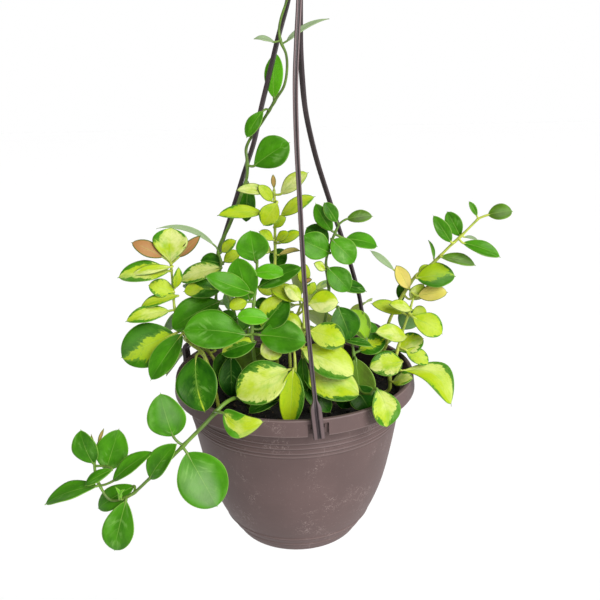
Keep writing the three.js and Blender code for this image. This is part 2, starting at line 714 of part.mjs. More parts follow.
function pairedStem({ root, path, pairs, size, first, seed }) {
  const curve = stemCurve(root, path.map((point) => new THREE.Vector3(...point)));
  const leaves = [];
  for (let pair = 0; pair < pairs; pair += 1) {
    const share = 0.42 + (0.56 * (pair + 0.5)) / pairs;
    const node = curve.getPoint(share);
    const along = curve.getTangent(share);
    const level = new THREE.Vector3().crossVectors(along, up).normalize();
    for (const side of [0, 1]) {
      const number = seed * 100 + pair * 2 + side;
      const turn = radians(first + 90 * pair + 180 * side + 30 * (draw(number) - 0.5));
      const outward = level.clone().applyAxisAngle(along, turn);
      const heading = outward.multiplyScalar(0.85).addScaledVector(along, 0.4).addScaledVector(up, 0.25)
        .normalize();
      const length = size * (0.85 + 0.3 * draw(number + 0.3));
      const base = node.clone().addScaledVector(heading, 9);
      const tip = base.clone().addScaledVector(heading, length).addScaledVector(up, -0.18 * length);
      const facing = along.clone().multiplyScalar(0.7).add(up);
      leaves.push(leafOf(base, tip, facing, length * (0.62 + 0.14 * draw(number + 0.6))));
    }
  }
  return leafyStemSolid([curve], leaves);
}

const finishes = {
  pot: { color: 0x73635f, roughness: 0.62, metalness: 0 },
  hanger: { color: 0x4a3c40, roughness: 0.5, metalness: 0 },
  soil: { color: 0x241c16, roughness: 1, metalness: 0 },
  leaf: { color: 0x4c9626, roughness: 0.35, metalness: 0 },
  pale: { color: 0xb8cf4a, roughness: 0.38, metalness: 0 },
};
const paleStems = new Set(['leafy_stem_left', 'leafy_stem_front', 'leafy_stem_tall', 'leafy_stem_middle',
  'leafy_stem_right_low', 'leafy_stem_right_high']);

const group = new THREE.Group();

function place(name, solid, finish) {
  const mesh = new THREE.Mesh(geometryOf(solid), new THREE.MeshStandardMaterial(finishes[finish]));
  mesh.name = name;
  group.add(mesh);
}

const roots = [
  ...Object.values(measuredStems).flatMap(({ stems }) => stems.filter(({ root }) => root)),
  ...Object.values(pairedStems),
].map(({ root }) => root);

place('pot', potSolid(), 'pot');
place('soil', soilSolid(roots), 'soil');
place('hanger_hook', hookSolid(), 'hanger');
for (const side of Object.keys(armPaths)) {
  place(`hanger_arm_${side}`, armSolid(side), 'hanger');
}
for (const [name, plant] of Object.entries(measuredStems)) {
  place(name, measuredStem(plant), paleStems.has(name) ? 'pale' : 'leaf');
}
for (const [name, plant] of Object.entries(pairedStems)) {
  place(name, pairedStem(plant), 'leaf');
}

export default group;
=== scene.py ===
"""Dresses the solid model of a variegated hoya in a hanging pot: pot, hanger, soil and waxy leaves."""

import itertools
import json
import math
import random

import bpy
import numpy as np
from bpy.props import FloatProperty, FloatVectorProperty, IntProperty, PointerProperty
from bpy.types import Operator, Panel, PropertyGroup
from mathutils import Euler, Matrix, Vector, noise


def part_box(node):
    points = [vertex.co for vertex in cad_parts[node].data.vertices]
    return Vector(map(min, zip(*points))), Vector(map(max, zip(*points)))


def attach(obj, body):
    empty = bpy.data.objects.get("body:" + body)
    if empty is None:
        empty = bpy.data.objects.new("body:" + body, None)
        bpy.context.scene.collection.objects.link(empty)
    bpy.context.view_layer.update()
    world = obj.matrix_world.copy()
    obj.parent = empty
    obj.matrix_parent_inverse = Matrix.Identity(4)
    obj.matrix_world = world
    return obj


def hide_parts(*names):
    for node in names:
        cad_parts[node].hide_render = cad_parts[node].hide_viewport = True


bl_info = {
    "name": "Hanging hoya",
    "version": (1, 0, 0),
    "blender": (4, 5, 0),
    "location": "View3D > Sidebar > Hanging hoya",
    "description": "Pot, soil, hanger and leafy stems over a solid model",
    "category": "Add Mesh",
}

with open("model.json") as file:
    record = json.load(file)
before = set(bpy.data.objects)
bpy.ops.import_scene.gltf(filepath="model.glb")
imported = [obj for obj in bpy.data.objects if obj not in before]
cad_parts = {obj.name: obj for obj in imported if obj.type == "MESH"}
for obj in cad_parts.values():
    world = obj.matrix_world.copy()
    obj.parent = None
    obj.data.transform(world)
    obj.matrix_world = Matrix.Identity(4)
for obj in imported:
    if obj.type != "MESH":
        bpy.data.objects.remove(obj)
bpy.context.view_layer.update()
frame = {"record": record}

MM = 0.001
UP = Vector((0, 0, 1))


def linear(red, green, blue):
    """A colour given as 0 to 255 on a screen, as the linear values that shaders use."""
    def one(value):
        value /= 255
        return value / 12.92 if value <= 0.04045 else ((value + 0.055) / 1.055) ** 2.4
    return (one(red), one(green), one(blue))


def colour(name, description, value):
    """A colour property."""
    return FloatVectorProperty(name=name, description=description, subtype="COLOR", size=3, min=0, max=1,
                               default=linear(*value))


def length(name, description, value):
    """A length property in millimetres."""
    return FloatProperty(name=name, description=description + ", in millimetres", default=value)


def strength(name, light, value):
    """A property for the strength of a light."""
    return FloatProperty(name=name, description="Strength of " + light, default=value)


def scaled(tint, share):
    """A colour made that much darker or lighter."""
    return tuple(share * value for value in tint)


def circle(steps):
    """The turns of a full circle, in radians."""
    return [2 * math.pi * k / steps for k in range(steps)]


def around(radius, turn, height=0.0):
    """The point at that distance from the upright axis, turn and height."""
    return Vector((radius * math.cos(turn), radius * math.sin(turn), height))


def ramp(value, low, high):
    """How far a number is from low to high, held between 0 and 1."""
    return min(max((value - low) / (high - low), 0), 1)


# Sizes of the solid model that the finer pieces keep, in millimetres
POT_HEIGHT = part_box("pot")[1][2] / MM
RIM_RADIUS = 100
SKIRT_RADIUS = 102
SKIRT_DROP = 13
SKIRT_WALL = 2.2
LIP_THICKNESS = 3
POT_WALL = 1.8
FLOOR_THICKNESS = 2.5
MOUTH_RADIUS = 97
LEDGE_DROP = 8.6
NOTCH_FLOOR = 98.4
SLOT = (10.4, 5, 8)
INNER_FLOOR = 52
NOTCH_WIDTH = 16
DRAIN_RADIUS = 4
DRAIN_RING = 32
DRAIN_COUNT = 4
SOIL_TOP = 124
SOIL_EDGE = 87.1
SOIL_MOUND = 4
ROOT_DEPTH = 14
ARM_FOOT = {"front": -80.6, "right": 39.4, "left": 159.4}
ARM_LEAN = {"front": 5.5, "right": 0, "left": 0}
FOOT_TOP = 159
FOOT_WIDTH = 8.4
FOOT_THICKNESS = 2.6
HUB_PLACE = (7, 0, 462)
HUB_RADIUS = 11
HUB_HEIGHT = 14
HOOK_BEND = 15
SHANK_HEIGHT = 18
TOUCH_GAP = 0.3
LEAF_REACH = 9

# The points of the pot's section that are inside it, how far apart the points along a stem or an arm are in
# millimetres, and how dull a leaf's underside is
INNER_POINTS = 46
LINE_GAP = 1.6
UNDERSIDE_DULL = 0.66

# Half the side of the square floor, in metres
FLOOR_REACH = 24

# The paler crumbs in the soil, and the ruddy touch on stems
CRUMB = linear(96, 72, 48)
RUST = linear(140, 92, 56)

# Outer radius of the pot's body at each height
POT_BODY = [(53, 0), (56.2, 5.8), (67, 24), (76.2, 48), (82.5, 75), (88.3, 108), (91.7, 131)]

# Heights and weights of the rings moulded on the pot, under the rim and near the base
RINGS = ((119.4, 1.0), (115.2, 0.9), (110.4, 0.9), (107.2, 0.5))
BASE_RINGS = ((17.5, 1.0), (9, 0.8))

# The eye that the leaves in front were measured from, in its 600-wide picture
EYE = Vector((0, -600, 394))
EYE_REACH = 757
EYE_MIDDLE = 300
EYE_TURN = math.radians(0.56)
EYE_PITCH = math.radians(17.5)
EYE_ROLL = math.radians(-1.16)

# The looks of leaves: how far the pale centre spreads over the half width (under 0 none, over 1 all of it),
# how far it leans to one side, how ragged its edge is and how far green comes in from the tip, then how light
# the green is, how creamy the pale part is (under 0 greener), how coppery the whole leaf is and how dull it
# is.
# Below about 0.45 the last value lays a painted sheen on a patch along the middle of the leaf; from about 0.65
# the whole leaf takes the dull colour of an underside.
LOOKS = {
    "green": (-1, 0, 0, 0, 0.46, 0, 0, 0),
    "bright": (-1, 0, 0, 0, 0.52, 0, 0, 0),
    "glossy": (-1, 0, 0, 0, 0.5, 0, 0, 0.42),
    "half_glossy": (-1, 0, 0, 0, 0.5, 0, 0, 0.24),
    "fresh": (-1, 0, 0, 0, 1.0, 0, 0, 0),
    "dark": (-1, 0, 0, 0, 0.2, 0, 0, 0),
    # deep is the darkest green, given to leaves low in the canopy as painted shade
    "deep": (-1, 0, 0, 0, 0.0, 0, 0, 0),
    "dusky": (-1, 0, 0, 0, 0.3, 0, 0.08, 0.24),
    "silver": (-1, 0, 0, 0, 0.35, 0, 0.04, 1.0),
    "streaked": (-0.08, 0, 0.1, -0.17, 0.1, 0.1, 0, 0),
    "ribbed": (0.02, 0, 0.08, 0, 0.45, 0.1, 0, 0),
    "lime_centre": (0.45, 0, 0.9, 0.3, 0.25, 0.1, 0, 0),
    "lime_low_centre": (0.45, 0.25, 0.8, 0.3, 0.26, -0.3, 0, 0.1),
    "lime_low_edge": (0.88, -0.24, 0.4, 0, 0.3, -0.2, 0, 0),
    "lime_top_edge": (0.9, -0.14, 0.6, 0.15, 0.3, 0.4, 0, 0),
    "pale_tipped": (-0.1, 0, 0.5, -1.3, 0.15, 0.15, 0, 0),
    "pale_ended": (0.4, 0, 0.5, -2.2, 0.62, 0.4, 0, 0),
    "lime_edged": (0.84, 0, 0.8, 0.2, 0.35, 0.12, 0, 0),
    "lime_tipped": (1.05, 0, 0.6, 0.4, 0.4, 0.1, 0, 0),
    "fading": (0.75, 0.3, 0.5, 0.6, 0.4, -0.35, 0, 0.16),
    "green_tipped": (0.92, 0, 0.9, 0.3, 0.42, 0.75, 0, 0),
    "yellow_edged": (0.8, 0, 0.8, 0.3, 0.35, 0.5, 0, 0),
    "cream_edged": (0.8, 0, 0.9, 0.2, 0.3, 0.72, 0, 0),
    "cream_top_edge": (0.8, 0.12, 0.8, 0.1, 0.2, 0.58, 0, 0),
    "cream_low_edge": (0.98, 0.25, 0.6, 0.1, 0.2, 0.48, 0, 0),
    "lime_dark_edge": (0.88, 0, 0.6, 0.2, 0.2, 0.2, 0, 0),
    "olive_centre": (0.6, -0.2, 0.7, 0, 0.1, -0.7, 0.08, 0.05),
    "olive": (-1, 0, 0, 0, 0.24, 0, 0.1, 0),
    "yellow_side": (0.5, -0.75, 0.8, 0, 0.2, 0.3, 0, 0),
    "other_yellow_side": (0.5, 0.75, 0.8, 0, 0.2, 0.3, 0, 0),
    "lime": (2, 0, 0, 0, 0.6, 0.12, 0, 0),
    "yellow": (2, 0, 0, 0, 0.6, 0.95, 0, 0),
    "cream": (2, 0, 0, 0, 0.6, 0.62, 0, 0),
    "gold": (2, 0, 0, 0, 0.6, 0.4, 0.32, 0),
    "peach": (2, 0, 0, 0, 0.6, 0.9, 0.36, 0),
    "copper": (2, 0, 0, 0, 0.4, 0.6, 0.95, 0),
    "bud": (-1, 0, 0, 0, 0.5, 0.4, 0.85, 0),
}

# Leafy stems that the picture shows: the colour of the stems, the stems and the leaves. A stem's root is in
# millimetres; its path is in places across and down the picture, with the depth. A leaf's row is its look,
# base across and down, tip across and down, how far the base stands out in front of its stem and the tip in
# front of the base, its width, the heading (0 front, 90 right) and lift of its upper face, then, where they
# aren't usual, its fold, its arch, how far its rib bends sideways and its shape (1 is widest at the middle,
# more is widest beyond it).
USUAL_BENDS = (0.08, 0.07, 0, 1.07)
SEEN_STEMS = {
    "leafy_stem_trailing": ("green", [
        ((-36, -48), [
            (238, 398, -70), (224, 404, -87), (205, 424, -98), (190, 439, -102), (177, 452, -102),
            (148, 480, -100), (129, 496, -98), (111, 500, -96), (100, 486, -94), (95, 471, -92),
            (95, 452, -90)])], [
        ("half_glossy", 173, 436, 160, 393, 0, 0, 28, 0, 20, 0.08, 0.07, 0, 0.95),
        ("glossy", 187, 453, 218, 508, 3, 6, 37, 15, 20, 0.08, 0.07, 0, 0.92),
        ("green", 150, 478, 177, 443, 3, 4, 18, -30, 20, 0.2),
        ("bright", 113, 481, 154, 451, 4, 5, 14, 10, 56, 0.15),
        ("bright", 134, 486, 97, 509, -5, -6, 17, 0, 40), ("green", 106, 470, 119, 429, -3, -2, 24, 10, 15),
        ("bright", 126, 501, 114, 552, 3, 2, 24, 0, 15, 0.08, 0.07, 0, 1.12),
        ("bright", 97, 486, 44, 504, 3, 4, 20, 0, 78), ("bright", 112, 470, 84, 486, 6, 3, 10, 0, 60),
        ("green", 93, 463, 80, 430, 4, 0, 20, -10, 10), ("bud", 98, 443, 104, 428, 1, -1, 2.6, 0, 10),
        ("pale_ended", 223.5, 413, 264, 421, 18, 9, 18, 10, 34, 0.08, 0.05, 0.24, 0.72),
        ("bud", 95, 450, 83, 441, 2, 1, 2.6, 0, 30), ("bud", 95, 449, 91, 434, 2, 1, 2.2, 0, 30),
        ("fresh", 121, 499, 115, 487, 5, 2, 2.6, 0, 40, 0.08, 0.07, 0.12),
        ("fresh", 119, 499, 125, 489, 6, 2, 2.6, 0, 40, 0.08, 0.07, -0.12)]),
    "leafy_stem_left": ("yellow", [
        ((-62, -42), [
            (203, 354, -48), (190, 343, -40), (181, 328, -32), (175, 310, -26), (173, 290, -22),
            (172, 276, -20), (171, 264, -18)])], [
        ("green_tipped", 171, 264, 171, 227, 1, 0, 28, 0, 15, 0.08, 0.07, 0, 1.9),
        ("copper", 163, 257, 131, 242, 2, 3, 13, 0, 35), ("copper", 179, 257, 201, 235, 2, 2, 8, 10, 20),
        ("yellow_edged", 169, 271, 117, 277, 4, 6, 20, 0, 48),
        ("yellow", 171, 267, 130, 275, 8, 3, 8, 0, 40), ("lime_edged", 174, 292, 148, 285, 1, 2, 15, 0, 30),
        ("lime_edged", 175, 288, 179, 267, 2, 2, 8, 30, 20),
        ("lime_edged", 178, 296, 139, 308, 4, 5, 12, 0, 60),
        ("yellow_edged", 169, 311, 125, 321, 6, 8, 15, 0, 48),
        ("lime_low_centre", 174, 334, 120, 358, 4, 4, 35, -10, 22),
        ("green", 182, 334, 150, 381, 12, 10, 20, -12, 18, 0.1),
        ("streaked", 196, 357, 205, 413, 10, 23, 32, 0, 15, 0.08, 0.07, 0.05, 1.1)]),
    "leafy_stem_left_inner": ("green", [
        ((-46, -12), [
            (228, 345, -22), (219, 322, -20), (216, 300, -18), (218, 280, -15), (221, 262, -12),
            (218, 252, -10)])], [
        ("green", 219, 302, 171, 329, 3, 15, 28, -10, 36),
        ("pale_tipped", 220, 290, 183, 291, 2, 4, 18, 0, 45),
        ("cream_edged", 221, 268, 179, 281, 3, -2, 18, 0, 50),
        ("dark", 223, 264, 200, 260, -3, -3, 14, 0, 40),
        ("silver", 214, 245, 156, 228, 0, -6, 4.8, 0, 35, 0.08, 0, 0.14, 0.85),
        ("lime_edged", 222, 252, 236, 240, 2, 2, 10, 0, 40), ("lime", 224, 262, 240, 252, -4, -3, 11, 0, 40),
        ("dark", 219, 314, 238, 320, 1, 2, 11, 0, 40), ("dark", 228, 350, 221, 380, 6, 8, 18, 0, 35),
        ("deep", 231, 356, 232, 398, 17, 11, 20, 0, 25)]),
    "leafy_stem_centre": ("green", [
        ((-22, -40), [
            (255, 362, -50), (252, 334, -54), (253, 312, -50), (255, 292, -46), (257, 270, -43),
            (256, 252, -40), (253, 243, -38)])], [
        ("bright", 246, 335, 182, 330, 4, 6, 33, 0, 45, 0.08, 0.07, 0, 1.3),
        ("bright", 260, 335, 307, 342, 4, 6, 27, 0, 40), ("fresh", 268, 319, 236, 316, 7, 3, 14, 0, 40),
        ("other_yellow_side", 262, 328, 288, 297, 0, -4, 24, -10, 25),
        ("green", 250, 292, 205, 275, 7, 8, 18, 0, 42, 0.08, 0.07, -0.05),
        ("green", 259, 287, 303, 267, 3, 6, 16, 0, 42), ("fresh", 253, 273, 286, 273, 7, 3, 13, 0, 40),
        ("bright", 250, 300, 237, 257, 1, -1, 24, -10, 15), ("bright", 255, 261, 250, 230, 4, 2, 25, 0, 15),
        ("lime", 247, 302, 229, 308, 5, 5, 12, 0, 50), ("yellow_side", 256, 342, 221, 354, 2, 4, 18, 0, 45)]),
    "leafy_stem_front": ("yellow", [
        ((-8, -60), [
            (292, 396, -66), (294, 380, -68), (295, 362, -66), (293, 348, -60), (288, 340, -56)])], [
        ("cream_top_edge", 288, 370, 235, 397, 4, 8, 33, 0, 35),
        ("lime_low_edge", 293, 370, 289, 429, 6, 10, 19, 6, 12, 0.14, 0.05, 0, 0.98),
        ("dark", 279, 400, 248, 413, 2, 6, 13, 0, 55, 0.3), ("olive", 264, 350, 236, 374, -18, 0, 22, 0, 30),
        ("yellow", 284, 345, 260, 354, 4, 4, 19, 0, 35)]),
    "leafy_stem_tall": ("yellow", [
        ((-14, -8), [
            (275, 330, -20), (273, 300, -16), (275, 262, -12), (275, 232, -10), (275, 206, -8),
            (274, 190, -8)])], [
        ("bud", 274, 188, 273, 174, 0, 0, 4, 0, 10), ("yellow", 281, 194, 308, 172, 2, 4, 14, -10, 35),
        ("yellow", 269, 192, 236, 190, 2, 5, 11, 0, 46), ("lime", 272, 201, 258, 185, 3, 3, 10, 0, 40),
        ("lime_tipped", 263, 213, 217, 215, 3, 6, 13, 0, 45),
        ("lime_tipped", 277, 203, 263, 226, 6, 5, 16, 0, 25, 0.08, 0.07, 0, 1.2),
        ("lime_tipped", 281, 216, 315, 196, 3, 6, 13, 0, 42), ("lime", 274, 227, 286, 217, 4, 2, 9, 0, 40),
        ("lime", 273, 240, 259, 231, 3, 2, 9, 0, 50), ("lime", 277, 241, 289, 232, 5, 2, 9, 0, 50),
        ("lime_tipped", 280, 243, 301, 232, 2, 2, 10, 0, 45),
        ("dark", 272, 266, 285, 249, -7, -2, 15, 0, 20), ("peach", 279, 255, 300, 250, 2, 3, 8, 0, 70),
        ("yellow", 271, 252, 252, 246, -4, -4, 13, 0, 50), ("dark", 273, 318, 250, 330, 1, 3, 16, 0, 45),
        ("dark", 272, 305, 254, 305, 1, 3, 12, 0, 45), ("lime", 273, 293, 257, 287, 2, 3, 11, 0, 45)]),
    "leafy_stem_middle": ("yellow", [
        ((4, -46), [
            (301, 376, -56), (303, 355, -54), (304, 330, -50), (304, 305, -44), (306, 285, -40),
            (308, 272, -38)])], [
        ("cream_low_edge", 303, 375, 361, 395, 5, 9, 29, 0, 46),
        ("cream_low_edge", 302, 349, 355, 375, 6, 10, 28, 0, 44),
        ("lime_dark_edge", 310, 331, 346, 343, 8, 6, 22, 0, 40),
        ("yellow", 309, 304, 339, 302, 4, 5, 19, 0, 38), ("lime", 301, 299, 270, 289, 2, 4, 15, 0, 45),
        ("yellow", 301, 300, 284, 286, 6, 3, 12, 0, 40), ("yellow", 303, 327, 276, 322, -2, -2, 18, 0, 42),
        ("lime_edged", 308, 294, 315, 282, 3, 2, 8, 0, 20), ("copper", 304, 282, 312, 279, 8, 1, 4, 0, 30),
        ("lime", 303, 284, 305, 263, 2, 1, 10, 0, 20), ("dark", 303, 357, 307, 392, 4, 8, 12, -40, 20),
        ("deep", 303, 378, 331, 413, 2, 12, 18, 0, 35)]),
    "leafy_stem_upright": ("green", [
        ((22, -16), [
            (323, 335, -30), (329, 293, -26), (326, 262, -24), (331, 243, -22), (338, 226, -20)])], [
        ("dusky", 347, 219, 373, 216, 1, 2, 11, 0, 40), ("green", 332, 231, 315, 203, 0, 1, 13, -25, 15),
        ("dark", 337, 222, 324, 202, 3, 1, 11, 10, 15), ("dark", 328, 245, 306, 227, -5, -4, 19, 0, 20),
        ("green", 330, 253, 299, 239, 3, 3, 22, 0, 22), ("bright", 332, 240, 355, 263, 5, 4, 20, 0, 30),
        ("green", 346, 239, 378, 246, -3, -4, 16, 0, 50), ("green", 328, 268, 350, 291, 4, 4, 19, 0, 30),
        ("dark", 332, 285, 367, 291, -4, -6, 13, 0, 50), ("yellow", 325, 270, 314, 263, 3, 3, 8, 0, 40)]),
    "leafy_stem_right_inner": ("green", [
        ((38, -40), [
            (352, 385, -46), (354, 362, -44), (352, 342, -42), (348, 326, -40)]),
        (None, [
            (353, 376, -45), (361, 392, -62), (371, 394, -76)])], [
        ("dark", 338, 307, 351, 340, 2, 6, 24, 5, 28),
        ("olive_centre", 367, 339, 348, 309, -5, -4, 18, 20, 30, 0.2),
        ("dark", 345, 341, 373, 346, 4, 3, 8, 0, 60), ("lime_centre", 359, 351, 386, 338, -3, -4, 18, 0, 40),
        ("olive", 356, 359, 363, 408, 4, 9, 26, -10, 20), ("deep", 355, 386, 370, 410, 2, 10, 22, 0, 30),
        ("deep", 353, 380, 341, 409, 4, 7, 20, 0, 30),
        ("yellow_edged", 377, 389, 387, 428, 4, 13, 22, 10, 22, 0.08, 0.07, -0.08, 1.3)]),
    "leafy_stem_right_low": ("yellow", [
        ((66, -26), [
            (389, 390, -31), (390, 376, -31), (396, 356, -28), (403, 330, -26), (409, 313, -25),
            (413, 299, -24)])], [
        ("cream_edged", 402, 362, 369, 368, 4, 8, 22, 5, 42),
        ("yellow_edged", 393, 382, 413, 378, 8, 10, 14, 0, 55),
        ("lime_top_edge", 402, 371, 452, 406, 6, 14, 24, 10, 40, 0.1, 0.06, -0.27, 1.5),
        ("lime_edged", 406, 350, 429, 364, 4, 5, 14, 10, 40),
        ("yellow_edged", 398, 350, 424, 338, 0, -2, 18, 0, 42),
        ("cream", 406, 337, 375, 332, 6, 12, 16, 0, 46),
        ("lime_tipped", 413, 317, 443, 334, 4, 5, 20, 10, 33),
        ("lime", 412, 314, 427, 311, -4, -4, 11, 0, 30), ("lime", 403, 313, 371, 303, -2, -2, 12, 0, 45),
        ("cream", 411, 310, 389, 304, 5, 5, 11, 0, 50)]),
    "leafy_stem_right_high": ("yellow", [
        ((58, 2), [
            (386, 345, -4), (388, 325, -6), (397, 305, -9), (406, 290, -12), (415, 277, -14),
            (434, 262, -16), (450, 246, -18), (460, 237, -20), (478, 219, -22)])], [
        ("peach", 409, 289, 396, 265, 3, 2, 12, -10, 25), ("gold", 418, 296, 448, 292, 10, 4, 14, 0, 40),
        ("yellow", 411, 299, 424, 284, 5, 4, 12, 20, 34), ("dark", 402, 301, 401, 282, -4, -2, 8, -30, 20),
        ("silver", 394, 270, 370, 250, -6, -6, 5.6, 0, 30), ("fading", 417, 278, 456, 276, 4, 6, 22, 0, 42),
        ("lime", 419, 276, 430, 265, -1, -1, 9, 0, 30), ("dusky", 441, 257, 476, 265, 3, 4, 12, 0, 55),
        ("green", 463, 243, 501, 257, 3, 5, 13, 0, 45), ("green", 434, 259, 429, 240, -2, -1, 4, 40, 20),
        ("green", 451, 242, 433, 215, 4, 2, 11, -20, 30), ("green", 460, 236, 447, 211, -3, -2, 13, -10, 20),
        ("silver", 464, 237, 478, 240, -4, -4, 4, 0, 60), ("dusky", 488, 215, 513, 211, 1, 2, 14, 0, 40),
        ("green", 477, 216, 469, 201, 0, -1, 5, 0, 20)]),
    "climbing_stem": ("green", [
        ((-46, 16), [
            (238, 330, 14), (231, 303, 14), (223, 285, 15), (218, 262, 18), (219, 248, 19), (230, 224, 17),
            (239, 200, 15), (247, 176, 12), (247, 160, 10), (246, 150, 12), (249, 141, 19), (255, 132, 24),
            (260, 125, 21), (267, 114, 13), (276, 99, 8), (284, 86, 3), (287, 69, 0), (286, 54, -3),
            (281, 42, -2), (279, 30, 0), (281, 18, -1), (285, 6, -3), (289, -6, -3)])], [
        ("bright", 254, 166, 290, 142, 3, 4, 26, 0, 25, 0.08, 0.07, 0, 1.35),
        ("bright", 263, 111, 246, 138, 9, 2, 12, -20, 20),
        ("fresh", 274, 98, 276.5, 52, -9, -3, 15, 10, 10, 0.08, 0.07, -0.05),
        ("silver", 274, 42, 254, 38, 1, 1, 7, 0, 60),
        ("silver", 287, 41, 329, 18, 0, 0, 5.2, 0, 45, 0.08, 0, -0.1, 0.62),
        ("dark", 248, 183, 246, 223, -14, -4, 15, 0, 10)]),
}

# Stems behind and beside the pot: root and path in millimetres, pairs of leaves, leaf length, first turn and
# seed
PAIRED_STEMS = {
    "leafy_stem_back_left": (
        (-45, 40), [(-48, 46, 142), (-60, 64, 164), (-76, 84, 178), (-92, 100, 180)], 4, 38, 30, 1),
    "leafy_stem_back_middle": (
        (-4, 50), [(-4, 56, 142), (2, 76, 160), (8, 100, 168), (12, 124, 160)], 4, 38, 60, 2),
    "leafy_stem_left_side": ((-66, 22), [(-70, 27, 140), (-84, 40, 154), (-96, 56, 153)], 2, 34, 28, 4),
    "leafy_stem_right_side": ((66, 24), [(72, 28, 140), (88, 34, 155), (104, 38, 157)], 2, 32, 30, 5),
    "leafy_stem_back_trailing_left": (
        (-40, 58), [(-42, 68, 144), (-46, 88, 156), (-50, 106, 150), (-54, 118, 122), (-54, 122, 88),
                    (-50, 118, 56)], 5, 34, 80, 6),
    "leafy_stem_back_trailing_right": (
        (44, 56), [(46, 66, 144), (48, 84, 154), (52, 104, 148), (56, 118, 120), (56, 122, 86),
                   (52, 120, 60)], 5, 34, 35, 7),
}
PLAIN_LOOKS = ("green", "bright", "dark", "green", "ribbed", "bright")
MIXED_LOOKS = ("yellow_edged", "green", "cream_edged", "lime_centre", "lime", "lime_edged")
MIXED_STEMS = ("leafy_stem_back_middle", "leafy_stem_left_side", "leafy_stem_back_trailing_right")

# The arms of the hanger from rim to hub, in the same way as the stems
ARM_PATHS = {
    "front": [
        (315, 400, -100), (312.5, 376, -94), (309.6, 347, -87), (307, 318, -79), (303, 260, -66),
        (299.5, 196, -53), (296.5, 138, -40), (295.4, 84, -29), (297, 40, -19), (299, 0, -11),
        (299, -20, -6)],
    "right": [
        (365, 319, 65), (358.5, 293, 60), (351, 266, 53), (340, 232, 44.5), (330, 202, 38), (317, 161, 31),
        (309.5, 131, 26), (305, 107, 22), (302, 76, 17), (300.4, 46, 13), (300, 0, 7), (300, -20, 5)],
    "left": [
        (194, 338, 34), (205, 300, 31), (221, 246, 27), (235, 202, 23), (244, 173, 20), (254, 142, 17),
        (261, 109, 14), (268, 80, 11), (278, 38, 7), (288, 0, 3), (292, -20, 1)],
}


class HOYA_PG_pot(PropertyGroup):
    """Sizes and colours of the pot and its soil."""
    ring_rise: length("Ring rise", "How far the moulded rings stand out of the wall", 0.75)
    ring_spread: length("Ring spread", "Half the height of one moulded ring", 0.85)
    base_ring_rise: length("Base ring rise", "How far the steps near the base stand out", 0.9)
    round_steps: IntProperty(name="Round steps", description="Faces round the pot", default=168, min=24)
    plastic: colour("Plastic", "Colour of the moulded plastic", (94, 76, 74))
    # The colour of the fine pale scuffs, and of the painted highlight lines on the rings and rim edges
    speck: colour("Speck", "Colour of the fine pale scuffs", (150, 134, 130))
    soil_colour: colour("Soil", "Colour of the potting mix", (24, 18, 13))
    bark_count: IntProperty(name="Bark", description="Loose bits of bark on the soil", default=420, min=0)


class HOYA_PG_hanger(PropertyGroup):
    """Sizes and colours of the hanger."""
    arm_width: length("Arm width", "Width of an arm at its top", 4.2)
    arm_depth: length("Arm depth", "Depth of an arm from its inner to its outer face", 3.2)
    groove: length("Groove", "Depth of the groove down the outer face", 0.5)
    wire: length("Hook wire", "Radius of the hook's rod", 3.2)
    dark: colour("Plastic", "Colour of the hanger", (54, 44, 46))
    # Colour of the painted highlight on the ribs, and of fine pale scuffs
    worn: colour("Worn", "Colour of its rubbed ribs", (113, 94, 94))


class HOYA_PG_leaf(PropertyGroup):
    """Sizes and colours of leaves and stems."""
    thickness: length("Thickness", "Thickness of a blade at its middle", 1.0)
    wave: length("Wave", "Height of the slow wave along a blade's edge", 0.5)
    cusp: FloatProperty(name="Cusp", description="Share of the length that is the narrow tip", default=0.055,
                        subtype="FACTOR")
    stem_radius: length("Stem radius", "Radius of a stem", 1.55)
    stalk_radius: length("Stalk radius", "Radius of a leaf's stalk", 1.05)
    dark: colour("Dark green", "Oldest green leaves", (16, 66, 4))
    light: colour("Light green", "Youngest green leaves", (80, 154, 18))
    middle: colour("Middle green", "Between the pale centre and the green", (100, 142, 42))
    lime: colour("Lime", "Lime parts of variegated leaves", (158, 180, 22))
    cream: colour("Cream", "Cream parts of variegated leaves", (200, 206, 130))
    golden: colour("Golden", "Pale peach-yellow young leaves", (206, 184, 98))
    copper: colour("Copper", "Young coppery leaves", (152, 106, 66))
    # A pale colour painted on patches and streaks of green leaves as a sheen, in place of highlights
    bloom: colour("Bloom", "The pale waxy sheen on green leaves", (126, 170, 88))
    outline: colour("Outline", "The thin dark edge of pale leaves", (52, 92, 20))
    rib: colour("Midrib", "The line along the middle of a leaf", (150, 185, 84))
    # The dull colour of an underside, also laid on the middle of glossy leaves as a painted sheen
    under: colour("Underside", "The dull side of a leaf", (162, 178, 144))
    green_stem: colour("Green stem", "Stems of green shoots", (100, 136, 44))
    yellow_stem: colour("Yellow stem", "Stems of variegated shoots", (180, 192, 72))


class HOYA_PG_stage(PropertyGroup):
    """The floor and the lights."""
    drop: FloatProperty(name="Drop", description="How far the floor is below the pot", default=1.6,
                        unit="LENGTH", subtype="DISTANCE")
    surround: strength("Surround", "the even light from all sides", 0.36)
    key: strength("Key", "the main light", 3.22)
    fill: strength("Fill", "the second light", 1.15)


class Value:
    """A node's socket that adds maths nodes when it is used in an expression."""

    def __init__(self, shader, socket):
        self.shader = shader
        self.socket = socket

    def __add__(self, other):
        return self.shader.maths("ADD", self, other)

    def __sub__(self, other):
        return self.shader.maths("SUBTRACT", self, other)

    def __rsub__(self, other):
        return self.shader.maths("SUBTRACT", other, self)

    def __mul__(self, other):
        return self.shader.maths("MULTIPLY", self, other)

    def __abs__(self):
        return self.shader.maths("ABSOLUTE", self)

    __radd__ = __add__
    __rmul__ = __mul__


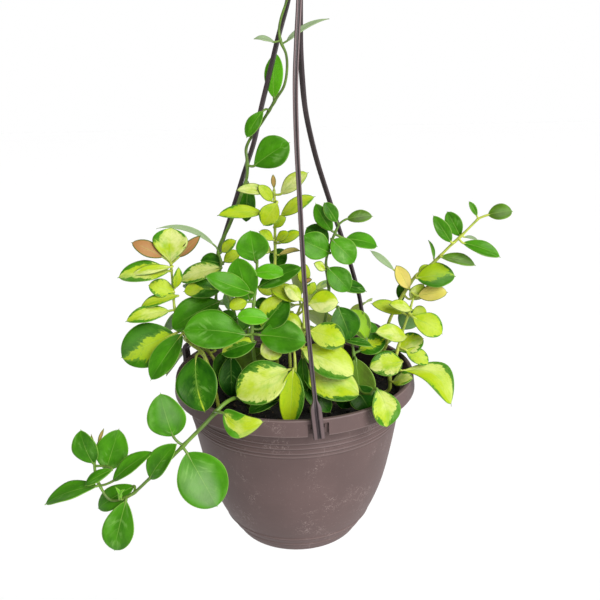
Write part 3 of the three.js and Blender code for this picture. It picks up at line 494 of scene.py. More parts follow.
class Shader:
    """The nodes of a material or a world, and the shorthand that builds them."""

    def __init__(self, owner):
        owner.use_nodes = True
        self.owner = owner
        self.tree = owner.node_tree

    def node(self, kind, settings=None, values=None, output=0):
        """Adds a node: its settings first, then its sockets, by index or by name."""
        made = self.tree.nodes.new(kind)
        for key, setting in (settings or {}).items():
            setattr(made, key, setting)
        pairs = values.items() if isinstance(values, dict) else enumerate(values or ())
        for key, value in pairs:
            self.feed(made.inputs[key], value)
        return Value(self, made.outputs[output])

    def feed(self, socket, value):
        """Links a socket or sets its value."""
        if isinstance(value, Value):
            self.tree.links.new(value.socket, socket)
        elif socket.type == "RGBA" and len(value) == 3:
            socket.default_value = (*value, 1)
        else:
            socket.default_value = value

    def maths(self, operation, *values):
        return self.node("ShaderNodeMath", {"operation": operation}, values)

    def attribute(self, name):
        """The three numbers that a mesh attribute holds."""
        return self.split(self.node("ShaderNodeAttribute", {"attribute_name": name}, output="Vector"))

    def split(self, vector):
        made = self.node("ShaderNodeSeparateXYZ", None, [vector]).socket.node
        return [Value(self, made.outputs[axis]) for axis in "XYZ"]

    def join(self, x, y, z):
        return self.node("ShaderNodeCombineXYZ", None, [x, y, z])

    def place(self):
        """The point of the surface in its object's own metres."""
        return self.node("ShaderNodeTexCoord", output="Object")

    def noise(self, vector, scale, detail=2.0, roughness=0.5):
        return self.node("ShaderNodeTexNoise", None, {
            "Vector": vector, "Scale": scale, "Detail": detail, "Roughness": roughness})

    def step(self, value, low, high, start=0, end=1):
        """A smooth step from start to end while the value goes from low to high."""
        return self.node("ShaderNodeMapRange", {"interpolation_type": "SMOOTHSTEP"}, {
            "Value": value, "From Min": low, "From Max": high, "To Min": start, "To Max": end})

    def mix(self, factor, first, second):
        """A mix of two colours."""
        values = {"Factor": factor, 6: first, 7: second}
        return self.node("ShaderNodeMix", {"data_type": "RGBA"}, values, output=2)

    def paint(self, tint, *layers):
        """Colours laid over a colour, each with its strength."""
        for factor, layer in layers:
            tint = self.mix(factor, tint, layer)
        return tint

    def bands(self, height, places):
        """1 at each of the heights in millimetres and 0 beyond half a millimetre from them."""
        total = 0
        for place in places:
            total = total + (1 - self.step(abs(height - place * MM), 0.0001, 0.0007))
        return total

    def bump(self, height, distance, strength=1.0):
        values = {"Height": height, "Distance": distance, "Strength": strength}
        return self.node("ShaderNodeBump", None, values)

    def finish(self, **sockets):
        """Feeds the material's surface and gives back the material."""
        surface = self.tree.nodes["Principled BSDF"]
        for name, value in sockets.items():
            self.feed(surface.inputs[name.replace("_", " ").title().replace("Ior", "IOR")], value)
        return self.owner


def new_material(name):
    """The shader of a material with that name."""
    return Shader(bpy.data.materials.new(name))


def plastic_material(name, base, speck, rough, speck_share, highlit_heights=(), shaded_heights=()):
    """Matte moulded plastic with slow mottling, fine pale specks, hairline scuffs and rubbed streaks. Highlit
    heights are heights in millimetres with a pale line painted as a highlight, and shaded heights are heights
    with a dark line painted as shade."""
    shader = new_material(name)
    place = shader.place()
    height = shader.split(place)[2]
    slow = shader.noise(place, 22, 4, 0.6)
    fine = shader.noise(place, 1500, 2, 0.6)
    dust = shader.noise(place, 480, 3, 0.75)
    streaks = shader.node("ShaderNodeMapping", None, {"Vector": place, "Scale": (1, 1, 0.16)})
    rubbed = shader.step(shader.noise(streaks, 120, 4, 0.65), 0.6, 0.78)
    patches = shader.step(slow, 0.42, 0.68)
    specks = shader.step(dust, speck_share, speck_share + 0.09) * (0.35 + 0.65 * patches)
    hairs = 1 - shader.step(abs(shader.noise(place, 130, 3, 0.7) - 0.5), 0.004, 0.014)
    hairs = hairs * shader.step(shader.noise(place, 34, 2, 0.5), 0.54, 0.64)
    tint = shader.paint(
        shader.mix(shader.step(slow, 0.3, 0.7), scaled(base, 0.84), base),
        (0.22 * rubbed, speck), (0.4 * specks, speck), (0.5 * hairs, speck),
        # Painted highlight lines at the highlit heights, and painted shade lines at the shaded heights
        (0.22 * shader.bands(height, highlit_heights), speck),
        (0.22 * shader.bands(height, shaded_heights), scaled(base, 0.35)))
    relief = shader.bump(fine * 0.5 + dust * 0.5, 0.00012, 0.5)
    return shader.finish(
        base_color=tint, roughness=rough + 0.14 * slow, specular_ior_level=0.28, normal=relief)


def hanger_material(base, worn):
    """Satin plastic with a painted highlight on the ribs of the outer face, most at the top and on the foot,
    and painted shade in the groove between them. Fine pale scuffs share the highlight's colour."""
    shader = new_material("hanger_plastic")
    place = shader.place()
    height = shader.split(place)[2]
    across, outward, _ = shader.attribute("skin_place")
    slow = shader.noise(place, 60, 3, 0.6)
    fine = shader.noise(place, 900, 3, 0.6)
    side = abs(across)
    # Painted highlight on the two ribs of the outer face and painted shade in the groove between them; rubbed
    # here is how strong the highlight is by height, most at the top and on the foot
    rib = shader.step(outward, 0.3, 0.9) * shader.step(side, 0.25, 0.5) * shader.step(side, 0.8, 1, 1, 0.35)
    groove = shader.step(outward, 0.2, 0.6) * (1 - shader.step(side, 0.2, 0.4))
    rubbed = shader.step(height, 0.2, 0.4, 0.3, 1) + shader.step(height, 0.148, 0.164, 0.5, 0)
    tint = shader.paint(
        shader.mix(shader.step(slow, 0.3, 0.7), scaled(base, 0.8), scaled(base, 1.25)),
        (rib * (0.6 + 0.4 * slow) * rubbed, worn), (0.6 * groove, scaled(base, 0.4)),
        (0.3 * shader.step(fine, 0.6, 0.72), worn))
    return shader.finish(base_color=tint, roughness=0.36 + 0.16 * slow, specular_ior_level=0.35,
                         normal=shader.bump(fine, 0.0001, 0.5))


def soil_material(base):
    """Rough dark potting mix with paler crumbs."""
    shader = new_material("potting_soil")
    place = shader.place()
    grain = shader.noise(place, 520, 5, 0.7)
    crumbs = shader.step(shader.noise(place, 210, 2, 0.5), 0.6, 0.7)
    tint = shader.paint(shader.mix(grain, scaled(base, 0.35), base), (0.5 * crumbs, CRUMB))
    return shader.finish(base_color=tint, roughness=0.93, normal=shader.bump(grain, 0.0009))


def leaf_material(sizes):
    """Waxy leaves. The mesh says where a point is on its blade and what the leaf looks like."""
    shader = new_material("waxy_leaf")
    across, along, seed = shader.attribute("skin_place")
    rib, edge, dull = shader.attribute("blade_size")
    spread, lean, ragged = shader.attribute("leaf_pattern")
    lightness, creaminess, coppery = shader.attribute("leaf_colour")
    tip_green = shader.attribute("leaf_ends")[0]
    side = abs(across)
    half = shader.step(across, -0.05, 0.05, -1, 1)
    vein = along * 4 - side * 1.3
    streaks = shader.noise(shader.join(vein, side * 0.5, seed * 37), 2.2, 4, 0.62)
    patches = shader.noise(shader.join(across * 0.9, along * 1.3, seed * 53), 1.7, 3, 0.55)
    flecks = shader.noise(shader.join(vein * 1.6, side * 1.6, seed * 71), 4.5, 3, 0.6)
    clouds = shader.noise(shader.join(across * 0.6, along * 1.2, seed * 91), 1.4, 3, 0.6)
    ends = tip_green * shader.step(along, 0.35, 1.0) + shader.step(along, 0.0, 0.12, 0.2, 0)
    reach = abs(across + lean) + ends + ragged * ((streaks - 0.5) * 1.3 + (patches - 0.5) * 1.5)
    pale = 1 - shader.step(reach, spread - 0.02, spread + 0.04)
    nearly = 1 - shader.step(reach + (flecks - 0.5) * 0.8, spread + 0.06, spread + 0.24)
    speckled = shader.step(flecks, 0.58, 0.64) * shader.step(reach, spread - 0.4, spread, 0, 0.7)

    shade = shader.step(patches, 0.3, 0.7, -0.14, 0.12) + lightness + 0.05 * half * (seed * 2 - 1)
    # Painted sheen: pale patches along the middle of lighter green leaves, in place of highlights
    bloom = shader.step(clouds, 0.5, 0.72) * shader.step(side, 0.1, 0.5) * shader.step(side, 0.8, 1, 1, 0.3)
    bloom = 0.34 * bloom * shader.step(lightness, 0.1, 0.4)
    # Painted glints: pale highlight streaks along the veins, in the sheen colour
    glints = shader.step(streaks, 0.56, 0.64) * shader.step(clouds, 0.45, 0.6) * shader.step(side, 0.9, 0.3)
    green = shader.paint(
        shader.mix(shade, sizes["dark"], sizes["light"]),
        (shader.step(streaks, 0.5, 0.75, 0, 0.14), sizes["middle"]),
        (bloom, sizes["bloom"]), (0.3 * glints, sizes["bloom"]))
    creamy = shader.step(clouds + across * (seed - 0.5) * 0.3, 0.36, 0.62, 0.1, 1.15)
    creamy = creaminess * (creamy + 0.2 * half * (seed * 2 - 1))
    cream = shader.paint(
        shader.mix(creamy, sizes["lime"], sizes["cream"]),
        (shader.step(streaks, 0.5, 0.66, 0, 0.35), sizes["lime"]),
        (shader.step(patches, 0.5, 0.66, 0, 0.3), sizes["light"]),
        (shader.step(flecks, 0.5, 0.68, 0, 0.2), sizes["middle"]),
        (shader.step(creaminess, -1, 0, 0.8, 0), sizes["light"]))

    rib_line = (1 - shader.step(rib, 0.1, 0.42)) * shader.step(along, 0.3, 0.95, 1, 0.1)
    edge_line = 1 - shader.step(edge, 0.2, 0.7 + 0.6 * coppery)
    edge_line = edge_line * (0.45 + 0.2 * pale + 0.3 * coppery)
    # Painted sheen: a pale patch along the middle of the leaf, in the underside colour, for dull values below
    # about 0.45; from about 0.65 the whole face takes the underside colour
    sheen = shader.step(abs(across - 0.15), 0.25, 0.85, 1, 0) * shader.step(along, 0.1, 0.5)
    sheen = sheen * shader.step(along, 0.8, 1, 1, 0.4) * (0.7 + 0.6 * flecks)
    whole = shader.step(dull, 0.45, 0.65)
    tint = shader.paint(
        green, (nearly, shader.mix(0.35 + 0.4 * lightness, green, sizes["middle"])),
        (pale * (1 - speckled), cream), (shader.step(coppery, 0, 0.5), sizes["golden"]),
        (shader.step(coppery, 0.5, 1), sizes["copper"]), (0.32 * rib_line, sizes["rib"]),
        (edge_line, shader.mix(pale + coppery, sizes["rib"], sizes["outline"])),
        (0.65 * dull * (whole * dull + (1 - whole) * sheen), sizes["under"]))

    fine = shader.noise(shader.place(), 900, 3, 0.6)
    relief = shader.bump(0.4 * fine - 0.5 * rib_line + 0.9 * streaks + 0.4 * patches, 0.0004, 0.7)
    roughness = 0.28 + 0.2 * patches + 0.16 * dull
    coat = shader.step(dull, 0, 1, 0.06, 0)
    return shader.finish(base_color=tint, roughness=roughness, coat_weight=coat, coat_roughness=0.2,
                         specular_ior_level=0.14, specular_tint=(0.8, 1, 0.45), normal=relief)


def stem_material(name, base, other, rusty):
    """Stems and stalks: green to yellow, a little ruddy in places."""
    shader = new_material(name)
    place = shader.place()
    slow = shader.noise(place, 60, 3, 0.6)
    fine = shader.noise(place, 700, 2, 0.5)
    tint = shader.mix(shader.step(slow, 0.4, 0.62), base, other)
    tint = shader.mix(rusty * shader.step(fine, 0.5, 0.8), tint, RUST)
    return shader.finish(base_color=tint, roughness=0.45, normal=shader.bump(fine, 0.0002, 0.6))


class Shape:
    """Points and faces in millimetres, with what is painted on them, gathered for one mesh."""

    MARKS = ("skin_place", "blade_size", "leaf_pattern", "leaf_colour", "leaf_ends")

    def __init__(self):
        self.points = []
        self.faces = []
        self.slots = []
        self.marks = []

    def add_grid(self, rows, slot=0, marks=None, closed=False):
        """Quads between rows of points. Closed rows join their last point to their first."""
        start = len(self.points)
        width = len(rows[0])
        for number, row in enumerate(rows):
            self.points.extend(row)
            self.marks.extend(marks[number] if marks else [None] * width)
        for row in range(len(rows) - 1):
            for column in range(width if closed else width - 1):
                after = (column + 1) % width
                low = start + row * width
                high = low + width
                self.faces.append((low + column, low + after, high + after, high + column))
                self.slots.append(slot)
        return start

    def mark(self, *place):
        """What is painted on a point that only has a place on its piece."""
        return ((*place, 0), *((0, 0, 0),) * (len(self.MARKS) - 1))

    def add_skin(self, rings, slot=0, marks=None):
        """A closed skin: rings of points with a cap at each end."""
        start = self.add_grid(rings, slot, marks, closed=True)
        count = len(rings[0])
        last = start + (len(rings) - 1) * count
        self.faces += [tuple(reversed(range(start, start + count))), tuple(range(last, last + count))]
        self.slots += [slot] * 2

    def add_tube(self, line, radii, sides, slot=0):
        """A closed round tube along a line of points."""
        rows = []
        ahead = (line[1] - line[0]).normalized()
        side = ahead.orthogonal().normalized()
        for number, point in enumerate(line):
            before = line[max(number - 1, 0)]
            after = line[min(number + 1, len(line) - 1)]
            ahead = (after - before).normalized()
            side = (side - side.dot(ahead) * ahead).normalized()
            other = ahead.cross(side)
            rows.append([
                point + radii[number] * (math.cos(turn) * side + math.sin(turn) * other)
                for turn in circle(sides)])
        self.add_skin(rows, slot)

    def mesh_object(self, name, materials, smooth=True):
        """The finished object, in metres."""
        mesh = bpy.data.meshes.new(name)
        mesh.from_pydata([point * MM for point in self.points], [], self.faces)
        mesh.polygons.foreach_set("material_index", self.slots)
        mesh.polygons.foreach_set("use_smooth", [smooth] * len(self.faces))
        if any(self.marks):
            blank = ((0, 0, 0),) * len(self.MARKS)
            rows = [mark or blank for mark in self.marks]
            for number, mark_name in enumerate(self.MARKS):
                attribute = mesh.attributes.new(mark_name, "FLOAT_VECTOR", "POINT")
                attribute.data.foreach_set("vector", np.array([row[number] for row in rows], float).ravel())
        for material in materials:
            mesh.materials.append(material)
        mesh.validate()
        made = bpy.data.objects.new(name, mesh)
        bpy.context.scene.collection.objects.link(made)
        return made


def hand_over(made, slot, *nodes):
    """The piece rides on the body and stands for its nodes, which are hidden. The slot is not used."""
    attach(made, "root")
    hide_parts(*nodes)


def eye_axes():
    """The directions ahead of the eye, to its right and above it."""
    flat = math.cos(EYE_PITCH)
    ahead = Vector((math.sin(EYE_TURN) * flat, math.cos(EYE_TURN) * flat, -math.sin(EYE_PITCH)))
    level = ahead.cross(UP).normalized()
    right = Matrix.Rotation(-EYE_ROLL, 3, ahead) @ level
    return ahead, right, right.cross(ahead)


def seen(place):
    """The point seen across and down the picture when it stands at that depth."""
    across, down, depth = place
    ahead, right, above = eye_axes()
    ray = EYE_REACH * ahead + (across - EYE_MIDDLE) * right + (EYE_MIDDLE - down) * above
    return EYE + ray * ((depth - EYE.y) / ray.y)


def heading_and_lift(heading, lift):
    """A direction: heading 0 looks to the front, 90 to the right; lift 90 looks up."""
    heading = math.radians(heading)
    lift = math.radians(lift)
    return Vector((math.sin(heading) * math.cos(lift), -math.cos(heading) * math.cos(lift), math.sin(lift)))


def spline_point(points, share):
    """A point of the centripetal curve through the points."""
    place = share * (len(points) - 1)
    start = min(int(place), len(points) - 2)
    rest = place - start
    here, there = points[start], points[start + 1]
    before = points[start - 1] if start else 2 * here - there
    after = points[start + 2] if start + 2 < len(points) else 2 * there - here
    first = max((here - before).length, 1e-6) ** 0.5
    second = max((there - here).length, 1e-6) ** 0.5
    third = max((after - there).length, 1e-6) ** 0.5
    leave = (here - before) / first - (there - before) / (first + second) + (there - here) / second
    arrive = (there - here) / second - (after - here) / (second + third) + (after - there) / third
    leave *= second
    arrive *= second
    return (here + leave * rest + (3 * (there - here) - 2 * leave - arrive) * rest ** 2
            + (2 * (here - there) + leave + arrive) * rest ** 3)


def spline_line(points, gap):
    """The curve as a line of points about that far apart."""
    rough = [spline_point(points, k / 400) for k in range(401)]
    lengths = np.cumsum([0] + [(b - a).length for a, b in zip(rough, rough[1:])])
    count = max(4, round(lengths[-1] / gap))
    wanted = np.linspace(0, lengths[-1], count + 1)
    return [spline_point(points, float(np.interp(mark, lengths, np.linspace(0, 1, 401)))) for mark in wanted]


def stem_points(root, places):
    """A stem's own points, from its hole in the soil on."""
    if not root:
        return places
    return [*(Vector((*root, SOIL_TOP + rise)) for rise in (-ROOT_DEPTH, SOIL_MOUND)), *places]


class Leaf:
    """Where a leaf is, how it is bent and what it looks like."""

    def __init__(self, base, tip, facing, width, bends, look, seed):
        self.base = base
        self.along = (tip - base).normalized()
        self.length = (tip - base).length
        self.face = (facing - facing.dot(self.along) * self.along).normalized()
        self.across = self.along.cross(self.face)
        self.width = width
        self.fold, self.arch, self.sweep, self.shape = bends
        self.look = look
        self.dice = random.Random(seed)
        self.seed = self.dice.random()
        self.phase = self.dice.random() * 2 * math.pi
        self.shape += 0.14 * (self.dice.random() - 0.5)
        self.droop = -0.25 - 0.3 * self.dice.random()
        self.lightness = 0.16 * (self.dice.random() - 0.5)

    def half_width(self, t, cusp):
        """Half the width at a share of the length: a full oval, fuller beyond its middle, and a narrow tip."""
        body = min(t / (1 - 0.75 * cusp), 1)
        slim = ramp(self.width / self.length, 0.62, 0.22)
        bend = 0.64 + (0.5 + 0.22 * slim - 0.64) * body
        oval = max(math.sin(math.pi * body ** self.shape), 0) ** bend
        point = 0.13 * min(max((1 - t) / (2.2 * cusp), 0), 1) ** 1.3 if t > 0.5 else 0
        return self.width / 2 * max(oval, point)

    def rib_point(self, t):
        """A point of the middle line, which may be arched and bent sideways."""
        bow = 4 * t * (1 - t) * self.length
        return (self.base + self.along * (t * self.length) + self.face * (bow * self.arch)
                + self.across * (bow * self.sweep))

    def at(self, t, s, sizes, face):
        """A point of the blade's upper (1) or lower (-1) face."""
        half = self.half_width(t, sizes["cusp"])
        rib = abs(s) * half
        scale = min(self.width / 24, 1)
        turn = 2 * math.pi * (1.6 * t) + self.phase + (2 if s > 0 else 0)
        wave = sizes["wave"] * scale * s * s * math.sin(turn)
        droop = self.droop * self.length * max(t - 0.7, 0) ** 2
        groove = math.exp(-(rib / 0.9) ** 2) * (1 - 0.7 * t) * scale
        thick = sizes["thickness"] / 2 * (0.5 + 0.5 * math.sqrt(max(1 - s * s, 0)))
        lift = 2 * self.fold * half * s * s + wave * math.sin(math.pi * t) + droop
        lift += thick - 0.45 * groove if face > 0 else -thick - 0.35 * groove
        return self.rib_point(t) + self.across * (half * s) + self.face * lift

    def add_to(self, shape, sizes):
        """Adds the blade as one closed skin."""
        rows = 26 if self.width > 14 else 16
        columns = 12 if self.width > 14 else 8
        ts = [0.5 - 0.5 * math.cos(math.pi * (0.02 + 0.98 * k / rows)) for k in range(rows + 1)]
        ss = [math.copysign(abs(x) ** 0.8, x) for x in (2 * k / columns - 1 for k in range(columns + 1))]
        *pattern, tip_green, lightness, creaminess, coppery, dull = LOOKS[self.look]
        tint = (ramp(lightness + self.lightness, 0, 1), creaminess, coppery)
        loop = [(s, 1, dull) for s in ss] + [(s, -1, UNDERSIDE_DULL) for s in reversed(ss)]
        grid, marks = [], []
        for t in ts:
            half = self.half_width(t, sizes["cusp"])
            grid.append([self.at(t, s, sizes, face) for s, face, _ in loop])
            marks.append([
                ((s, t, self.seed), (abs(s) * half, (1 - abs(s)) * half, dullness), pattern, tint,
                 (tip_green, 0, 0)) for s, _, dullness in loop])
        shape.add_skin(grid, 0, marks)

    def stalk_line(self, foot):
        """The stalk from the stem to the blade, and a little way on under its rib."""
        reach = (foot - self.base).length
        bend = (self.base - 0.45 * reach * self.along).lerp(foot, 0.25)
        shares = [k / 10 for k in range(11)]
        line = [foot.lerp(bend, share).lerp(bend.lerp(self.base, share), share) for share in shares]
        for share in (0.06, 0.14, 0.24):
            line.append(self.rib_point(share) - self.face * (0.35 + 0.5 * share))
        return line


def nearest_on(lines, point):
    """The nearest point of the lines."""
    return min((place for line in lines for place in line), key=lambda place: (place - point).length)


def add_stem(shape, line, feet, sizes, slot=1):
    """A stem with a swelling at each leaf pair, thinner towards its tip."""
    radii = []
    for number, point in enumerate(line):
        share = number / (len(line) - 1)
        slim = 1 - 0.42 * max(share - 0.3, 0) / 0.7
        gap = min(((point - foot).length for foot in feet), default=99)
        radii.append(sizes["stem_radius"] * slim * (1 + 0.28 * math.exp(-(gap / 2.6) ** 2)))
    shape.add_tube(line, radii, 10, slot)
    tip = line[-1] + (line[-1] - line[-2]).normalized() * radii[-1] * 0.8
    shape.add_tube([line[-1], tip], [radii[-1], radii[-1] * 0.35], 10, slot)


def leafy_stem_object(name, lines, leaves, tint, sizes):
    """One node's stems and leaves as one mesh."""
    shape = Shape()
    feet = []
    for leaf in leaves:
        foot = nearest_on(lines, leaf.base)
        feet.append(foot)
        stalk = leaf.stalk_line(foot)
        scale = min(0.55 + leaf.width / 40, 1)
        radii = [sizes["stalk_radius"] * scale * size
                 for size in (1.3, 1.15, 1.05, 1, 1, 1, 1, 1, 1.02, 1.05, 1.05, 0.8, 0.6, 0.25)]
        shape.add_tube(stalk, radii, 8, 1)
        leaf.add_to(shape, sizes)
    for line in lines:
        add_stem(shape, line, feet, sizes)
    materials = [bpy.data.materials[key] for key in ("waxy_leaf", tint + "_stem")]
    made = shape.mesh_object(name + "_fine", materials)
    slots = {entry["node"]: entry["material_slot"] for entry in frame["record"]["subparts"]}
    hand_over(made, slots[name], name)


def depth_beside(stems, across, down):
    """The stems' depth where they pass closest to a place in the picture."""
    best = None
    for _, path in stems:
        for first, second in zip(path, path[1:]):
            for tenth in range(11):
                share = tenth / 10
                point = [a + share * (b - a) for a, b in zip(first, second)]
                gap = math.hypot(point[0] - across, point[1] - down)
                if best is None or gap < best[0]:
                    best = (gap, point[2])
    return best[1]


def seen_leaf(stems, row, seed):
    """A leaf from its row."""
    look, base_across, base_down, tip_across, tip_down, base_out, tip_out, width, heading, lift, *bends = row
    bends = (*bends, *USUAL_BENDS[len(bends):])
    depth = depth_beside(stems, base_across, base_down) - base_out
    base = seen((base_across, base_down, depth))
    tip = seen((tip_across, tip_down, depth - tip_out))
    return Leaf(base, tip, heading_and_lift(heading, lift), width, bends, look, seed)


def draw(seed):
    """A number from 0 to 1 that is always the same for the same seed."""
    value = math.sin(seed * 12.9898) * 43758.5453
    return value - math.floor(value)


def paired_leaves(points, pairs, size, first, seed, looks):
    """Opposite pairs of leaves along a stem, each pair a quarter turn on."""
    leaves = []
    for pair in range(pairs):
        share = 0.42 + 0.56 * (pair + 0.5) / pairs
        node = spline_point(points, share)
        along = (spline_point(points, share + 1e-4) - spline_point(points, share - 1e-4)).normalized()
        level = along.cross(UP).normalized()
        for side in (0, 1):
            number = seed * 100 + pair * 2 + side
            turn = math.radians(first + 90 * pair + 180 * side + 30 * (draw(number) - 0.5))
            outward = Matrix.Rotation(turn, 3, along) @ level
            heading = (0.85 * outward + 0.4 * along + 0.25 * UP).normalized()
            leaf_length = size * (0.85 + 0.3 * draw(number + 0.3))
            base = node + LEAF_REACH * heading
            tip = base + leaf_length * heading - 0.18 * leaf_length * UP
            width = leaf_length * (0.62 + 0.14 * draw(number + 0.6))
            look = looks[int(len(looks) * draw(number + 0.8))]
            leaves.append(Leaf(base, tip, 0.7 * along + UP, width, USUAL_BENDS, look, number))
    return leaves


def values_of(group):
    """A property group's values by name, with colours as plain tuples."""
    plain = {}
    for name in group.__annotations__:
        value = getattr(group, name)
        plain[name] = tuple(value) if hasattr(value, "__len__") else value
    return plain


def body_radius(height):
    """The outer radius of the pot's body, smoothed between its driving points."""
    heights = [z for _, z in POT_BODY]
    radii = [r for r, _ in POT_BODY]
    spot = min(max(height, heights[0]), heights[-1])
    number = max(k for k, z in enumerate(heights[:-1]) if z <= spot)
    share = (spot - heights[number]) / (heights[number + 1] - heights[number])
    low, high = radii[number], radii[number + 1]
    gap = heights[number + 1] - heights[number]
    slopes = []
    for k in (number, number + 1):
        left, right = max(k - 1, 0), min(k + 1, len(radii) - 1)
        slopes.append((radii[right] - radii[left]) / (heights[right] - heights[left]) * gap)
    return (low * (1 + 2 * share) * (1 - share) ** 2 + high * share ** 2 * (3 - 2 * share)
            + slopes[0] * share * (1 - share) ** 2 - slopes[1] * share ** 2 * (1 - share))


def rounded(corners, radius, steps=4):
    """A chain of points with its inner corners rounded."""
    out = [Vector(corners[0])]
    for before, corner, after in zip(corners, corners[1:], corners[2:]):
        corner = Vector(corner)
        back = Vector(before) - corner
        on = Vector(after) - corner
        reach = min(radius, 0.45 * back.length, 0.45 * on.length)
        start = corner + reach * back.normalized()
        end = corner + reach * on.normalized()
        for k in range(steps + 1):
            share = k / steps
            out.append(start.lerp(corner, share).lerp(corner.lerp(end, share), share))
    out.append(Vector(corners[-1]))
    return out


def turned(profile, steps, name, materials, inner_from):
    """A closed turned solid from (radius, height) points that start and end on the axis. Faces from
    the profile's point inner_from on have the second material."""
    shape = Shape()
    width = len(profile) - 2
    shape.points = [around(r, turn, z) for turn in circle(steps) for r, z in profile[1:-1]]
    for k in range(steps):
        for column in range(width - 1):
            here, there = k * width + column, (k + 1) % steps * width + column
            shape.faces.append((here, there, there + 1, here + 1))
            shape.slots.append(int(column >= inner_from))
    for column, (_, z) in ((0, profile[0]), (width - 1, profile[-1])):
        centre = len(shape.points)
        shape.points.append(Vector((0, 0, z)))
        for k in range(steps):
            corners = (centre, ((k + 1) % steps) * width + column, k * width + column)
            shape.faces.append(corners if column == 0 else corners[::-1])
            shape.slots.append(int(column > 0))
    return shape.mesh_object(name, materials)


def cut(made, cutters):
    """Cuts the cutters out of the piece and removes them."""
    for cutter in cutters:
        modifier = made.modifiers.new("cut", "BOOLEAN")
        modifier.operation = "DIFFERENCE"
        modifier.solver = "EXACT"
        modifier.object = cutter
    depsgraph = bpy.context.evaluated_depsgraph_get()
    cut_mesh = bpy.data.meshes.new_from_object(made.evaluated_get(depsgraph))
    made.modifiers.clear()
    made.data = cut_mesh
    for cutter in cutters:
        bpy.data.objects.remove(cutter)


def box_object(name, low, high, turn=0.0):
    """A plain box, used as a cutter."""
    shape = Shape()
    spin = Matrix.Rotation(turn, 3, "Z")
    shape.points = [spin @ Vector(corner) for corner in itertools.product(*zip(low, high))]
    shape.faces = [(0, 1, 3, 2), (4, 6, 7, 5), (0, 4, 5, 1), (2, 3, 7, 6), (0, 2, 6, 4), (1, 5, 7, 3)]
    shape.slots = [0] * 6
    return shape.mesh_object(name, [], smooth=False)


def smooth_by_angle(made, degrees):
    """Smooth faces, with sharp edges where they meet at more than the angle."""
    made.data.set_sharp_from_angle(angle=math.radians(degrees))


def pot_profile(sizes):
    """The pot's section from the middle of its underside, up the outside and down the inside."""
    ledge = POT_HEIGHT - LEDGE_DROP
    skirt_bottom = POT_HEIGHT - SKIRT_DROP
    outside = []
    heights = [skirt_bottom * k / 120 for k in range(121)]
    heights += [1.2 + 0.3 * k for k in range(62)] + [105.1 + 0.3 * k for k in range(60)]
    for z in sorted(heights):
        radius = body_radius(z)
        for height, weight in RINGS:
            radius += weight * sizes["ring_rise"] * math.exp(-((z - height) / sizes["ring_spread"]) ** 2)
            radius -= 0.4 * weight * math.exp(-((z - height + 1.4) / 0.5) ** 2)
        for height, weight in BASE_RINGS:
            radius += weight * sizes["base_ring_rise"] * math.exp(-((z - height) / 0.9) ** 2)
            radius -= 0.4 * weight * math.exp(-((z - height + 1.6) / 0.6) ** 2)
        outside.append((radius, z))
    rim = rounded([
        (91.9, skirt_bottom + 0.4), (92.2, skirt_bottom + 2), (NOTCH_FLOOR - 0.6, skirt_bottom + 2),
        (SKIRT_RADIUS - SKIRT_WALL, skirt_bottom), (SKIRT_RADIUS, skirt_bottom),
        (RIM_RADIUS + 0.8, POT_HEIGHT - 3.2), (RIM_RADIUS + 0.4, POT_HEIGHT), (MOUTH_RADIUS, POT_HEIGHT),
        (MOUTH_RADIUS - 0.4, ledge), (90.6, ledge), (90.2, skirt_bottom - 1)], 1.1)
    inside = [(body_radius(z) - POT_WALL, z) for z in np.linspace(POT_HEIGHT - 16, FLOOR_THICKNESS + 4, 40)]
    foot = rounded([(0, 0.9), (45, 0.9), (46.5, 0), (52.6, 0), outside[3]], 0.6)
    floor = [(INNER_FLOOR, FLOOR_THICKNESS), (0, FLOOR_THICKNESS)]
    return [tuple(p) for p in foot] + outside[4:-1] + [tuple(p) for p in rim] + inside + floor


class HOYA_OT_materials(Operator):
    """Make the materials that the pieces share."""
    bl_idname = "hoya.materials"
    bl_label = "Materials"

    def execute(self, context):
        leaf = values_of(context.scene.hoya_leaf)
        leaf_material(leaf)
        stem_material("green_stem", leaf["green_stem"], scaled(leaf["green_stem"], 0.62), 0.25)
        yellowish = tuple(0.5 * (a + b) for a, b in zip(leaf["yellow_stem"], leaf["green_stem"]))
        stem_material("yellow_stem", leaf["yellow_stem"], yellowish, 0.2)
        return {"FINISHED"}


